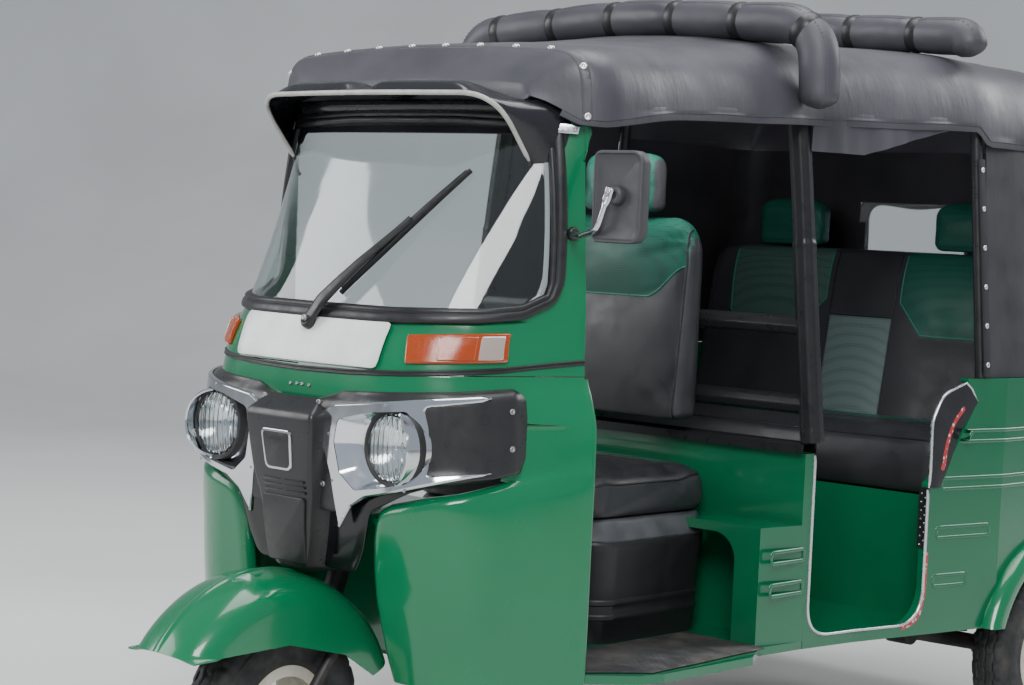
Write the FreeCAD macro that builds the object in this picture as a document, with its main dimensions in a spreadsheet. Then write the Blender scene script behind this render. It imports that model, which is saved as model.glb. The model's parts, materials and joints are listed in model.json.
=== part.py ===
import FreeCAD, Part
import math
import os
import Sketcher

# Auto rickshaw, in millimetres. Every piece is drawn in axle coordinates: X to the vehicle's left,
# Y rearwards from the front axle, Z up from the ground. Each Placement then moves it into the
# part's frame, whose origin is on the ground under the middle of the overall length.

Vector = FreeCAD.Vector
doc = FreeCAD.newDocument("auto_rickshaw")

SIZES = (
    # stance and wheels
    ("front_axle_y", -1017.5),
    ("wheelbase", 2000),
    ("wheel_track", 1150),
    ("tyre_radius", 208),
    ("tyre_width", 108),
    ("tyre_bead_radius", 112),
    ("rim_flange_width", 84),
    ("rim_wall", 6),
    ("rim_barrel_radius", 92),
    ("rim_disc_thick", 6),
    ("hub_radius", 34),
    ("hub_length", 92),
    ("axle_radius", 12),
    ("vent_radius", 11),
    ("vent_circle", 64),
    ("vent_count", 8),
    # clearances
    ("seat_gap", 0.3),
    ("moving_gap", 6),
    # heights of the body's levels
    ("body_bottom", 304),
    ("floor_top", 322),
    ("ledge_height", 583),
    ("partition_height", 742),
    ("belt_height", 905),
    ("seam_height", 921),
    ("panel_wall", 20),
    ("header_height", 1478),
    # windscreen
    ("sill_rise", 129),
    ("window_top", 1402),
    ("window_half_width", 388),
    ("window_corner", 62),
    ("glass_thick", 5),
    ("seal_width", 24),
    ("seal_proud", 10),
    # front arch and nose
    ("arch_half_width", 196),
    ("arch_top", 520),
    ("tunnel_half_width", 242),
    ("tunnel_top", 640),
    ("tunnel_back", 330),
    ("tunnel_wall", 12),
    ("nose_proud", 22),
    ("lamp_across", 266),
    ("bezel_wide", 20),
    # steering
    ("rake_degrees", 20),
    ("rake_foot", -9),
    ("stem_radius", 22),
    ("head_tube_wall", 6),
    ("head_tube_high", 900),
    ("stem_low", 420),
    ("stem_high", 985),
    ("bar_height", 1002),
    ("bar_half_width", 285),
    ("bar_radius", 11),
    ("grip_radius", 17),
    ("grip_length", 115),
    ("fork_across", 75),
    ("fork_radius", 12),
    # front mudguard
    ("guard_radius", 316),
    ("guard_centre_behind", -40),
    ("guard_centre_height", 195),
    ("guard_half_width", 102),
    ("guard_wall", 6),
    ("guard_front_degrees", 145.9),
    ("guard_back_degrees", 22),
    # driver's place
    ("box_front", 955),
    ("wall_front", 1085),
    ("wall_thick", 20),
    ("alcove_side", 67),
    ("alcove_top", 562),
    ("alcove_corner", 60),
    ("box_back_half_width", 514),
    ("box_taper", 20),
    ("strip_height", 24),
    ("strip_front", 1068),
    ("seat_base_half_width", 284),
    ("seat_base_front", 650),
    ("seat_base_top", 592),
    ("driver_seat_half_width", 290),
    ("driver_seat_front", 628),
    ("driver_seat_back", 1060),
    ("driver_seat_top", 700),
    ("driver_back_half_width", 238),
    ("driver_back_top", 1262),
    ("driver_back_bottom", 790),
    ("driver_head_top", 1403),
    ("driver_head_half_width", 120),
    ("cushion_round", 30),
    # hoops
    ("post_radius", 27),
    ("post_stand_off", 10),
    ("guard_bar_radius", 22),
    ("upper_bar_height", 1023),
    ("lower_bar_height", 850),
    ("rear_hoop_ahead", 330),
    ("rear_hoop_radius", 14),
    # rear body
    ("body_wall", 20),
    ("body_half_width", 620),
    ("riser_ahead", 400),
    ("deck_top", 618),
    ("deck_clear", 26),
    ("tail_behind", 299),
    ("wheel_arch_radius", 262),
    ("mudguard_band", 50),
    ("mudguard_reach", 30),
    ("door_bottom", 410),
    ("door_top", 730),
    ("door_half_width", 330),
    ("bumper_radius", 16),
    ("bumper_height", 336),
    ("bumper_half_width", 470),
    ("eye_height", 293),
    ("eye_radius", 8),
    # passenger's seat
    ("bench_half_width", 556),
    ("bench_front_ahead", 426),
    ("bench_back_ahead", 40),
    ("bench_thick", 150),
    ("bench_rest_half_width", 540),
    ("bench_rest_top", 1200),
    ("bench_head_near", 170),
    ("bench_head_far", 400),
    ("bench_head_top", 1330),
    ("bench_head_thick", 85),
    # canopy
    ("canopy_wall", 8),
    ("crown_turn", 3000),
    ("roll_radius", 45),
    ("front_roll_behind", 1045),
    ("front_roll_rise", 22),
    ("rear_roll_ahead", 338),
    ("curtain_wall", 8),
    # running gear
    ("rail_across", 250),
    ("rail_radius", 20),
    ("rail_height", 278),
    ("pivot_ahead", 350),
    ("pivot_radius", 18),
    ("arm_across", 425),
)

sheet = doc.addObject("Spreadsheet::Sheet", "sizes")
for row, (alias, number) in enumerate(SIZES, start=1):
    sheet.set("A%d" % row, alias)
    sheet.set("B%d" % row, str(number))
    sheet.setAlias("B%d" % row, alias)
doc.recompute()


class Size(float):
    """A length that remembers the spreadsheet expression that gives it."""

    def __new__(cls, number, text=None):
        size = float.__new__(cls, number)
        size.text = text or repr(float(number))
        return size

    def joined(self, other, sign, number):
        other_text = other.text if isinstance(other, Size) else repr(float(other))
        return Size(number, "(%s %s %s)" % (self.text, sign, other_text))

    def __add__(self, other):
        return self.joined(other, "+", float(self) + float(other))

    def __sub__(self, other):
        return self.joined(other, "-", float(self) - float(other))

    def __mul__(self, other):
        return self.joined(other, "*", float(self) * float(other))

    def __truediv__(self, other):
        return self.joined(other, "/", float(self) / float(other))

    def __neg__(self):
        return Size(-float(self), "(-%s)" % self.text)

    def __radd__(self, other):
        return Size(other) + self

    def __rsub__(self, other):
        return Size(other) - self

    def __rmul__(self, other):
        return Size(other) * self


class Sheet:
    """The spreadsheet's cells, read as named lengths."""

    def __getattr__(self, alias):
        return Size(sheet.get(alias), "sizes." + alias)


mm = Sheet()
pieces = []


def bind(thing, place, size):
    thing.setExpression(place, size.text)


def new_body(label):
    body = doc.addObject("PartDesign::Body", label)
    body.Label = label
    bind(body, "Placement.Base.y", mm.front_axle_y)
    pieces.append(body)
    return body


def origin_plane(body, role):
    return [item for item in body.Origin.OriginFeatures if item.Role == role][0]


def outline(body, name, role, corners, offset=None):
    """A closed sketch of straight lines; each corner is a pair of sizes."""
    sketch = body.newObject("Sketcher::SketchObject", name)
    sketch.AttachmentSupport = [(origin_plane(body, role), "")]
    sketch.MapMode = "FlatFace"
    count = len(corners)
    places = [Vector(across, up, 0) for across, up in corners]
    for index in range(count):
        line = Part.LineSegment(places[index], places[(index + 1) % count])
        sketch.addGeometry(line, False)
    for index in range(count):
        sketch.addConstraint(Sketcher.Constraint("Coincident", index, 2, (index + 1) % count, 1))
    for index, pair in enumerate(corners):
        for kind, size in zip(("DistanceX", "DistanceY"), pair):
            place = sketch.addConstraint(Sketcher.Constraint(kind, index, 1, float(size)))
            if isinstance(size, Size):
                bind(sketch, "Constraints[%d]" % place, size)
    if offset is not None:
        bind(sketch, "AttachmentOffset.Base.z", offset)
    doc.recompute()
    return sketch


def pad(body, sketch, length, symmetric=False, backwards=False):
    feature = body.newObject("PartDesign::Pad", sketch.Name + "_pad")
    feature.Profile = sketch
    feature.Reversed = backwards
    if symmetric:
        feature.SideType = "Symmetric"
    bind(feature, "Length", length)
    doc.recompute()
    return feature


def pocket(body, sketch, length, symmetric=False, backwards=False):
    before = body.Shape.Volume
    feature = body.newObject("PartDesign::Pocket", sketch.Name + "_pocket")
    feature.Profile = sketch
    feature.Reversed = backwards
    if symmetric:
        feature.SideType = "Symmetric"
    bind(feature, "Length", length)
    doc.recompute()
    if not body.Shape.Volume < before:
        raise ValueError(sketch.Name + " cuts nothing")
    return feature


def round_edges(body, feature, radius, wanted):
    """Fillets the straight edges of a feature whose two ends satisfy a test."""
    names = []
    for number, edge in enumerate(feature.Shape.Edges, start=1):
        first, last = edge.Vertexes[0].Point, edge.Vertexes[-1].Point
        if wanted(first, last):
            names.append("Edge%d" % number)
    fillet = body.newObject("PartDesign::Fillet", feature.Name + "_round")
    fillet.Base = (feature, names)
    bind(fillet, "Radius", radius)
    doc.recompute()
    return fillet


def upright(first, last):
    return abs(first.x - last.x) < 0.01 and abs(first.y - last.y) < 0.01


def along_x(first, last):
    return abs(first.y - last.y) < 0.01 and abs(first.z - last.z) < 0.01


def along_y(first, last):
    return abs(first.x - last.x) < 0.01 and abs(first.z - last.z) < 0.01


def shaped(label, shape):
    """A piece whose shape comes from Part's own functions."""
    feature = doc.addObject("Part::Feature", label)
    feature.Label = label
    feature.Shape = shape
    feature.Placement = FreeCAD.Placement(Vector(0, mm.front_axle_y, 0), FreeCAD.Rotation())
    pieces.append(feature)
    return feature


def rounded_edges(points, radii, closed):
    """Straight lines through points, with an arc of the given radius at each corner."""
    count = len(points)
    edges = []
    start = None
    first_leave = None
    order = range(count) if closed else range(1, count - 1)
    if not closed:
        start = points[0]
    for index in order:
        corner = points[index]
        back = points[index - 1] - corner
        ahead = points[(index + 1) % count] - corner
        back_way = Vector(back).normalize()
        ahead_way = Vector(ahead).normalize()
        turn = math.pi - back_way.getAngle(ahead_way)
        radius = radii[index]
        if radius <= 0 or turn < 1e-4:
            if start is not None:
                edges.append(Part.LineSegment(start, corner).toShape())
            start = corner
            if first_leave is None:
                first_leave = corner
            continue
        reach = radius * math.tan(turn / 2)
        enter = corner + back_way * reach
        leave = corner + ahead_way * reach
        inward = (back_way + ahead_way).normalize()
        middle = corner + inward * (radius / math.cos(turn / 2) - radius)
        if first_leave is None:
            first_leave = enter
        if start is not None and (enter - start).Length > 1e-6:
            edges.append(Part.LineSegment(start, enter).toShape())
        edges.append(Part.Arc(enter, middle, leave).toShape())
        start = leave
    end = first_leave if closed else points[-1]
    if (end - start).Length > 1e-6:
        edges.append(Part.LineSegment(start, end).toShape())
    return edges


def rounded_wire(points, radii, closed=True):
    if not isinstance(radii, (list, tuple)):
        radii = [radii] * len(points)
    return Part.Wire(Part.__sortEdges__(rounded_edges(points, radii, closed)))


def prism(points, radii, direction):
    return Part.Face(rounded_wire(points, radii)).extrude(direction)


def side_prism(outline_points, radii, low_x, high_x):
    """A block whose outline is drawn from the side, as (behind, height) pairs."""
    points = [Vector(low_x, behind, height) for behind, height in outline_points]
    return prism(points, radii, Vector(high_x - low_x, 0, 0))


def front_prism(outline_points, radii, low_y, high_y):
    """A block whose outline is drawn from the front, as (across, height) pairs."""
    points = [Vector(across, low_y, height) for across, height in outline_points]
    return prism(points, radii, Vector(0, high_y - low_y, 0))


def plan_prism(outline_points, radii, low_z, high_z):
    """A block whose outline is drawn from above, as (across, behind) pairs."""
    points = [Vector(across, behind, low_z) for across, behind in outline_points]
    return prism(points, radii, Vector(0, 0, high_z - low_z))


def block(low, high):
    return Part.makeBox(high[0] - low[0], high[1] - low[1], high[2] - low[2], Vector(*low))


def bar(start, end, radius):
    return Part.makeCylinder(radius, (end - start).Length, start, end - start)


def tube(points, bend, radius):
    """A round bar along straight runs joined by tangent arcs."""
    path = rounded_wire(points, bend, closed=False)
    way = points[1] - points[0]
    circle = Part.Wire(Part.Circle(points[0], way, radius).toShape())
    return path.makePipeShell([circle], True, False)


def mirrored(shape):
    return shape.mirror(Vector(0, 0, 0), Vector(1, 0, 0))


def both_sides(shape):
    return Part.makeCompound([shape, mirrored(shape)])


def outwards(points):
    """Copies (across, height) pairs to the other side, in order round the outline."""
    return list(points) + [(-across, height) for across, height in reversed(points)]


# The front shell. Each row is one level: height, how far behind the axle the centre line lies,
# the corner's place across and behind before rounding, the rear edge's place across and behind,
# and the corner's radius.
window_bottom = mm.seam_height + mm.sill_rise


def shield_level(share):
    """A height on the leg shield, as a share of the way up from its bottom to the seam."""
    return mm.body_bottom + (mm.seam_height - mm.body_bottom) * share


def nose_level(share):
    """A height on the nose, as a share of the way up from the wheel arch to the seam."""
    return mm.arch_top + (mm.seam_height - mm.arch_top) * share


FRONT_LEVELS = (
    (mm.body_bottom, 105, 392, 112, 475, 401, 120),
    (shield_level(0.19), 88, 396, 96, 475, 402, 130),
    (shield_level(0.616), 50, 386, 70, 475, 403, 130),
    (shield_level(0.7035), 46, 352, 72, 474, 404, 150),
    (shield_level(0.8266), 40, 352, 66, 472, 405, 160),
    (mm.seam_height, 43, 338, 71, 440, 407, 160),
    (mm.seam_height + mm.sill_rise * 0.845, 80, 330, 108, 438, 405, 170),
    (mm.window_top, 285, 362, 308, 430, 386, 100),
    (mm.header_height, 330, 366, 350, 426, 381, 50),
)


def front_block(grow, tail=0, levels=FRONT_LEVELS):
    """The solid block inside the front shell, grown outwards all round."""
    wires = []
    for height, centre, corner_x, corner_y, edge_x, edge_y, radius in levels:
        corner = Vector(corner_x + 0.7 * grow, corner_y - grow, height)
        edge = Vector(edge_x + grow, edge_y, height)
        edge += (edge - corner).normalize() * tail
        right = [edge, corner]
        left = [Vector(-point.x, point.y, height) for point in reversed(right)]
        points = right + [Vector(0, centre - grow, height)] + left
        wires.append(rounded_wire(points, [0, radius, 0, radius, 0]))
    return Part.makeLoft(wires, True, True)


def front_skin(outer, inner):
    """The layer between two growths of the front block, open to the rear."""
    return front_block(outer).cut(front_block(inner, tail=60))


def window_prism(grow):
    across = mm.window_half_width + grow
    corners = outwards([(across, window_bottom - grow), (across, mm.window_top + grow)])
    return front_prism(corners, mm.window_corner + grow, -400, mm.tunnel_back + 40)


def steering_point(height):
    return Vector(0, mm.rake_foot + height * math.tan(math.radians(mm.rake_degrees)), height)


def steering_bar(low, high, radius):
    return bar(steering_point(low), steering_point(high), radius)


# Floor, a folded steel pan with a running board flared at each side of the driver
wall = mm.panel_wall
tunnel_slot = mm.tunnel_half_width + mm.seat_gap
wall_back = mm.wall_front + mm.wall_thick
riser_front = mm.wheelbase - mm.riser_ahead
box_front_half_width = mm.box_back_half_width - mm.box_taper
alcove_half_width = box_front_half_width - mm.alcove_side
board_across = mm.box_back_half_width + 46


def cabin_station(share):
    """A place along the passenger's floor, as a share of the way from the partition to the riser."""
    return wall_back + (riser_front - wall_back) * share


def body_across(share):
    """Half the body's width, as a share of the way from the partition's width to the widest."""
    return mm.box_back_half_width + (mm.body_half_width - mm.box_back_half_width) * share


FLOOR_SIDE = (
    (468, 140), (468, 405), (board_across - 15, 500), (board_across, 560), (board_across, 860),
    (box_front_half_width + 11, mm.box_front), (mm.box_back_half_width - 1, wall_back),
    (mm.box_back_half_width - 20.3, wall_back), (body_across(0.17) - 20.5, cabin_station(0.34)),
    (body_across(0.65) - 21, cabin_station(0.889)), (body_across(0.7) - 22, riser_front + 20),
)
floor_corners = [(across, behind) for across, behind in FLOOR_SIDE]
floor_corners += [(-across, behind) for across, behind in reversed(FLOOR_SIDE)]
floor = plan_prism(floor_corners, 0, mm.body_bottom, mm.floor_top)
floor = floor.cut(block((-tunnel_slot, 0, 0), (tunnel_slot, mm.tunnel_back + mm.seat_gap, mm.ledge_height)))
front_part = block((-700, 0, 0), (700, 420, mm.header_height)).cut(front_block(-(wall + mm.seat_gap), tail=60))
floor = floor.cut(front_part.common(block((-700, 0, 0), (700, 404, mm.ledge_height))))
shaped("floor_pan", floor)

# Upper front panel with the windscreen opening and both front pillars
above_seam = block((-700, -200, mm.seam_height), (700, 700, mm.header_height))
front_panel = front_skin(0, -wall).common(above_seam).cut(window_prism(0))
shaped("front_panel", front_panel)

# Windscreen, curved glass flush with the panel, and the rubber that holds it
window = window_prism(-0.5 * mm.seat_gap)
shaped("windscreen", front_skin(0, -mm.glass_thick).common(window))
seal_ring = window_prism(mm.seal_width).cut(window_prism(-mm.seal_width / 4))
shaped("windscreen_seal", front_skin(mm.seal_proud, mm.seat_gap).common(seal_ring))

# Leg shield, the lower front panel, with the arch that the front wheel turns in
arch_opening_top = nose_level(0.399)
lamp_height = nose_level(0.631)
bezel_radius = (mm.seam_height - mm.arch_top) * 0.2244
lens_radius = bezel_radius - mm.bezel_wide
below_seam = block((-700, -200, mm.body_bottom), (700, 700, mm.seam_height))
ARCH_OUTLINE = outwards([(mm.arch_half_width + 60, 200), (mm.arch_half_width, 455),
                         (mm.arch_half_width, arch_opening_top)])
wheel_opening = front_prism(ARCH_OUTLINE, [0, 0, 60, 60, 0, 0], -400, 600)
leg_shield = front_skin(0, -wall).common(below_seam).cut(wheel_opening)
lamp_points = [Vector(side * mm.lamp_across, -100, lamp_height) for side in (1, -1)]
lamp_bores = Part.makeCompound([Part.makeCylinder(bezel_radius + mm.seat_gap, 320, point, Vector(0, 1, 0))
                                for point in lamp_points])
leg_shield = leg_shield.cut(lamp_bores)
shaped("leg_shield", leg_shield)

# Glossy black infill under the nose, down to the wheel arch
infill = front_skin(-2, -wall).common(front_prism(
    outwards([(mm.arch_half_width - mm.seat_gap, mm.arch_top),
              (mm.arch_half_width - mm.seat_gap, arch_opening_top - mm.seat_gap)]), [0, 60, 60, 0], -400, 600))
shaped("nose_infill", infill)

# Black moulded nose: a band across both lamps and a prow down the middle
BAND_OUTLINE = outwards([
    (112, nose_level(0.3)), (250, nose_level(0.469)), (405, nose_level(0.549)), (412, nose_level(0.898)),
    (402, nose_level(0.93)), (135, nose_level(0.888)), (70, nose_level(0.843))])
band = front_skin(mm.nose_proud, mm.seat_gap).common(front_prism(BAND_OUTLINE, 0, -400, 302))
# Each row of the prow: height, front edge behind the axle, its half width, back edge, its half width
PROW_LEVELS = (
    (nose_level(-0.0125), 42, 46, 110, 62),
    (nose_level(0.3466), 9, 74, 110, 112),
    (nose_level(0.4713), -5, 84, 110, 122),
    (nose_level(0.758), -18, 98, 110, 124),
    (nose_level(0.843), 26, 68, 110, 80),
)
prow_wires = []
for height, front, front_half, back, back_half in PROW_LEVELS:
    prow_wires.append(Part.makePolygon([
        Vector(-front_half, front, height), Vector(front_half, front, height),
        Vector(back_half, back, height), Vector(-back_half, back, height),
        Vector(-front_half, front, height)]))
prow = Part.makeLoft(prow_wires, True, True).cut(front_block(mm.seat_gap, tail=60))
shaped("nose_cover", band.fuse(prow).removeSplitter().cut(lamp_bores))

# Headlamps: a round glass bowl in a bright ring, one each side
bezels = []
lamps = []
for point in lamp_points:
    ring = Part.makeCylinder(bezel_radius, 60, point + Vector(0, 125, 0), Vector(0, 1, 0))
    hole = Part.makeCylinder(lens_radius + 2, 80, point + Vector(0, 115, 0), Vector(0, 1, 0))
    bezels.append(ring.cut(hole))
    bowl = Part.makeCone(lens_radius + 1.7, lens_radius * 0.64, 70, point + Vector(0, 150, 0), Vector(0, 1, 0))
    lens = Part.makeCylinder(lens_radius + 1.7, 8, point + Vector(0, 142, 0), Vector(0, 1, 0))
    lamps.append(bowl.fuse(lens).removeSplitter())
shaped("lamp_bezels", Part.makeCompound(bezels))
shaped("headlamps", Part.makeCompound(lamps))

# Front turn lamps, wrapped round the corners above the seam
turn_low, turn_high = mm.seam_height + 29, mm.seam_height + 77
INDICATOR_OUTLINE = [(262, turn_low), (380, turn_low + 2), (380, turn_high + 2), (262, turn_high)]
indicator = front_skin(12, mm.seat_gap).common(front_prism(INDICATOR_OUTLINE, 8, -400, 290))
shaped("indicators", both_sides(indicator))

# Sun visor, a thin moulded hood over the windscreen
visor_front, visor_back = 128, 368
header = mm.header_height
VISOR_SIDE = ((visor_front + 22, header + 8), (visor_back, header + 30), (visor_back, header - 83),
              (visor_back - 61, header - 138), (visor_front + 22, header - 38))
hood_low, hood_high = header - 178, header - 10


def visor_block(shrink, front):
    wires = []
    for behind, across, high in ((front, 396, hood_high), (visor_back + 1, 416, hood_high + 2)):
        corners = outwards([(across - shrink, hood_low), (across - shrink, high - shrink)])
        points = [Vector(x, behind, z) for x, z in corners]
        wires.append(rounded_wire(points, [0, 80 - shrink, 80 - shrink, 0]))
    return Part.makeLoft(wires, True, True)


hood = visor_block(0, visor_front).cut(visor_block(6, visor_front - 20))
hood = hood.common(side_prism(VISOR_SIDE, 0, -500, 500))
hood = hood.cut(front_block(mm.seal_proud + mm.seat_gap, tail=60))
shaped("sun_visor", hood.removeSplitter())

# Windscreen wiper, parked on the glass, with its arm and blade
def glass_front(height):
    """How far behind the axle the middle of the glass lies."""
    for low, high in zip(FRONT_LEVELS, FRONT_LEVELS[1:]):
        if low[0] <= height <= high[0]:
            return low[1] + (high[1] - low[1]) * (height - low[0]) / (high[0] - low[0])
    raise ValueError("no glass at %s" % height)


wiper_foot, wiper_elbow, wiper_tip = window_bottom - 31, window_bottom + 2, mm.window_top - 90
WIPER_POINTS = (Vector(12, glass_front(wiper_foot) - 14, wiper_foot),
                Vector(26, glass_front(wiper_elbow) - 26, wiper_elbow),
                Vector(205, glass_front(wiper_tip) + 4.6, wiper_tip))
shaped("wiper", tube(list(WIPER_POINTS), 20, 6))

# Dashboard, a shelf moulded against the inside of the front panel
dash = front_block(-(wall + mm.seat_gap)).common(block((-300, 0, mm.seam_height + 4), (300, 165, mm.seam_height + 57)))
shaped("dash_panel", dash)

# Arched tunnel over the front wheel, welded to the steering head tube
inner_half = mm.tunnel_half_width - mm.tunnel_wall
inner_top = mm.tunnel_top - mm.tunnel_wall
inner_back = mm.tunnel_back - mm.tunnel_wall
tunnel = front_prism(outwards([(mm.tunnel_half_width, mm.floor_top - 18), (mm.tunnel_half_width, mm.tunnel_top)]),
                     [0, 110, 110, 0], 0, mm.tunnel_back)
hollow = front_prism(outwards([(inner_half, 0), (inner_half, inner_top)]), [0, 98, 98, 0], -10, inner_back)
head_outer = mm.stem_radius + mm.moving_gap + mm.head_tube_wall
tunnel = tunnel.cut(hollow).common(front_block(-(wall + mm.seat_gap), tail=60))
head_tube = steering_bar(mm.tunnel_top - 30, mm.head_tube_high, head_outer)
tunnel = tunnel.fuse(head_tube.cut(hollow)).removeSplitter()
tunnel = tunnel.cut(steering_bar(mm.body_bottom, mm.stem_high + 40, mm.stem_radius + mm.seat_gap))
bearing_length = 16
tunnel = tunnel.cut(steering_bar(mm.tunnel_top + bearing_length, mm.head_tube_high - bearing_length,
                                 mm.stem_radius + mm.moving_gap))
shaped("steering_tunnel", tunnel)

# Steering column and handlebar
grip_start = mm.bar_half_width - mm.grip_length
bar_at = steering_point(mm.bar_height)
column = steering_bar(mm.stem_low, mm.bar_height, mm.stem_radius)
handlebar = bar(bar_at + Vector(-mm.bar_half_width, 0, 0), bar_at + Vector(mm.bar_half_width, 0, 0), mm.bar_radius)
column = column.fuse([
    handlebar,
    bar(bar_at + Vector(grip_start, 0, 0), bar_at + Vector(mm.bar_half_width, 0, 0), mm.grip_radius),
    bar(bar_at - Vector(grip_start, 0, 0), bar_at - Vector(mm.bar_half_width, 0, 0), mm.grip_radius),
    block((-60, bar_at.y - 30, mm.bar_height - 22), (60, bar_at.y + 40, mm.bar_height + 30))])
shaped("steering_column", column.removeSplitter())

# Fork arm: a crown under the stem, across to one side and down to the stub axle
crown_drop = 14
foot = steering_point(mm.stem_low - crown_drop)
fork_side = foot + Vector(mm.fork_across, 0, 0)
fork_bend = 24
axle_end = Vector(mm.fork_across, 0, mm.tyre_radius)
half_hub = mm.hub_length / 2
fork = steering_bar(mm.stem_low - 2 * crown_drop, mm.stem_low, mm.stem_radius)
fork = fork.fuse([
    tube([foot, fork_side, axle_end], fork_bend, mm.fork_radius),
    bar(axle_end - Vector(mm.fork_radius, 0, 0), axle_end + Vector(mm.fork_radius, 0, 0), mm.fork_radius + 6),
    bar(Vector(-half_hub - 12, 0, mm.tyre_radius), axle_end, mm.axle_radius)])
shaped("fork_arm", fork)

# Front mudguard, a crowned shell turned about a centre just ahead of the axle
guard_centre = Vector(0, mm.guard_centre_behind, mm.guard_centre_height)
# Each row of the crown: how far across, as a share of the half width, and drop below the crown
CROWN = ((1.0, 150), (1.0, 62), (0.93, 34), (0.74, 12), (0.4, 2))


def guard_line(inset):
    low = CROWN[0][1]
    rows = [(share * mm.guard_half_width - inset, drop + inset if drop < low else low) for share, drop in CROWN]
    return rows + [(-across, drop) for across, drop in reversed(rows)]


back_way = Vector(0, math.cos(math.radians(mm.guard_back_degrees)), math.sin(math.radians(mm.guard_back_degrees)))
guard_outline = guard_line(0) + list(reversed(guard_line(mm.guard_wall)))
guard_points = [guard_centre + Vector(across, 0, 0) + back_way * (mm.guard_radius - drop)
                for across, drop in guard_outline]
guard_face = Part.Face(Part.makePolygon(guard_points + [guard_points[0]]))
guard = guard_face.revolve(guard_centre, Vector(1, 0, 0), mm.guard_front_degrees - mm.guard_back_degrees)
guard = guard.cut(steering_bar(mm.body_bottom, mm.tunnel_top, mm.stem_radius + mm.seat_gap))
# The skirts' lower edge, seen from the side
SKIRT = ((-340, 100), (-340, 360), (-274, 364), (-48, 372), (102, 336), (180, 286), (340, 190), (340, 100))
guard = guard.cut(side_prism(SKIRT, 0, -200, 200))
shaped("front_mudguard", guard)


# Wheels, each a pressed rim with round vents and a tyre, drawn about their own centre
def wheel(name, across, behind):
    rim = doc.addObject("PartDesign::Body", name + "_rim")
    rim.Label = name + "_rim"
    half_flange = mm.rim_flange_width / 2
    hub_half = mm.hub_length / 2
    disc_half = mm.rim_disc_thick / 2
    barrel = mm.rim_barrel_radius
    bead = mm.tyre_bead_radius - mm.seat_gap
    bore = mm.axle_radius + mm.seat_gap
    section = [
        (-hub_half, bore), (hub_half, bore), (hub_half, mm.hub_radius), (disc_half, mm.hub_radius),
        (disc_half, barrel - mm.rim_wall), (half_flange, barrel - mm.rim_wall), (half_flange, bead),
        (half_flange - mm.rim_wall, bead), (half_flange - mm.rim_wall, barrel),
        (-half_flange + mm.rim_wall, barrel), (-half_flange + mm.rim_wall, bead), (-half_flange, bead),
        (-half_flange, barrel - mm.rim_wall), (-disc_half, barrel - mm.rim_wall), (-disc_half, mm.hub_radius),
        (-hub_half, mm.hub_radius)]
    sketch = outline(rim, name + "_rim_section", "XY_Plane", section)
    turned = rim.newObject("PartDesign::Revolution", name + "_rim_turned")
    turned.Profile = sketch
    turned.ReferenceAxis = (sketch, ["H_Axis"])
    turned.Angle = 360
    doc.recompute()
    vent = rim.newObject("Sketcher::SketchObject", name + "_vent")
    vent.AttachmentSupport = [(origin_plane(rim, "YZ_Plane"), "")]
    vent.MapMode = "FlatFace"
    vent.addGeometry(Part.Circle(Vector(0, mm.vent_circle, 0), Vector(0, 0, 1), mm.vent_radius), False)
    radius_place = vent.addConstraint(Sketcher.Constraint("Radius", 0, float(mm.vent_radius)))
    bind(vent, "Constraints[%d]" % radius_place, mm.vent_radius)
    vent.addConstraint(Sketcher.Constraint("DistanceX", 0, 3, 0.0))
    up_place = vent.addConstraint(Sketcher.Constraint("DistanceY", 0, 3, float(mm.vent_circle)))
    bind(vent, "Constraints[%d]" % up_place, mm.vent_circle)
    doc.recompute()
    hole = pocket(rim, vent, mm.hub_length, symmetric=True)
    pattern = rim.newObject("PartDesign::PolarPattern", name + "_vents")
    pattern.Originals = [hole]
    pattern.Axis = (sketch, ["H_Axis"])
    pattern.Angle = 360
    bind(pattern, "Occurrences", mm.vent_count)
    rim.Tip = pattern
    doc.recompute()

    tyre = doc.addObject("PartDesign::Body", name + "_tyre")
    tyre.Label = name + "_tyre"
    half = mm.tyre_width / 2
    outer = mm.tyre_radius
    inner = mm.tyre_bead_radius
    tyre_section = [
        (half * 0.78, inner), (half, inner + 30), (half, outer - 36), (half * 0.88, outer - 14),
        (half * 0.55, outer)]
    tyre_section += [(-across_half, radius) for across_half, radius in reversed(tyre_section)]
    tyre_sketch = outline(tyre, name + "_tyre_section", "XY_Plane", tyre_section)
    tyre_turned = tyre.newObject("PartDesign::Revolution", name + "_tyre_turned")
    tyre_turned.Profile = tyre_sketch
    tyre_turned.ReferenceAxis = (tyre_sketch, ["H_Axis"])
    tyre_turned.Angle = 360
    doc.recompute()
    for body in (rim, tyre):
        bind(body, "Placement.Base.x", across)
        bind(body, "Placement.Base.y", mm.front_axle_y + behind)
        bind(body, "Placement.Base.z", mm.tyre_radius)
        pieces.append(body)


wheel("front", Size(0), Size(0))
wheel("rear_left", mm.wheel_track / 2, mm.wheelbase)
wheel("rear_right", -mm.wheel_track / 2, mm.wheelbase)

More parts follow.
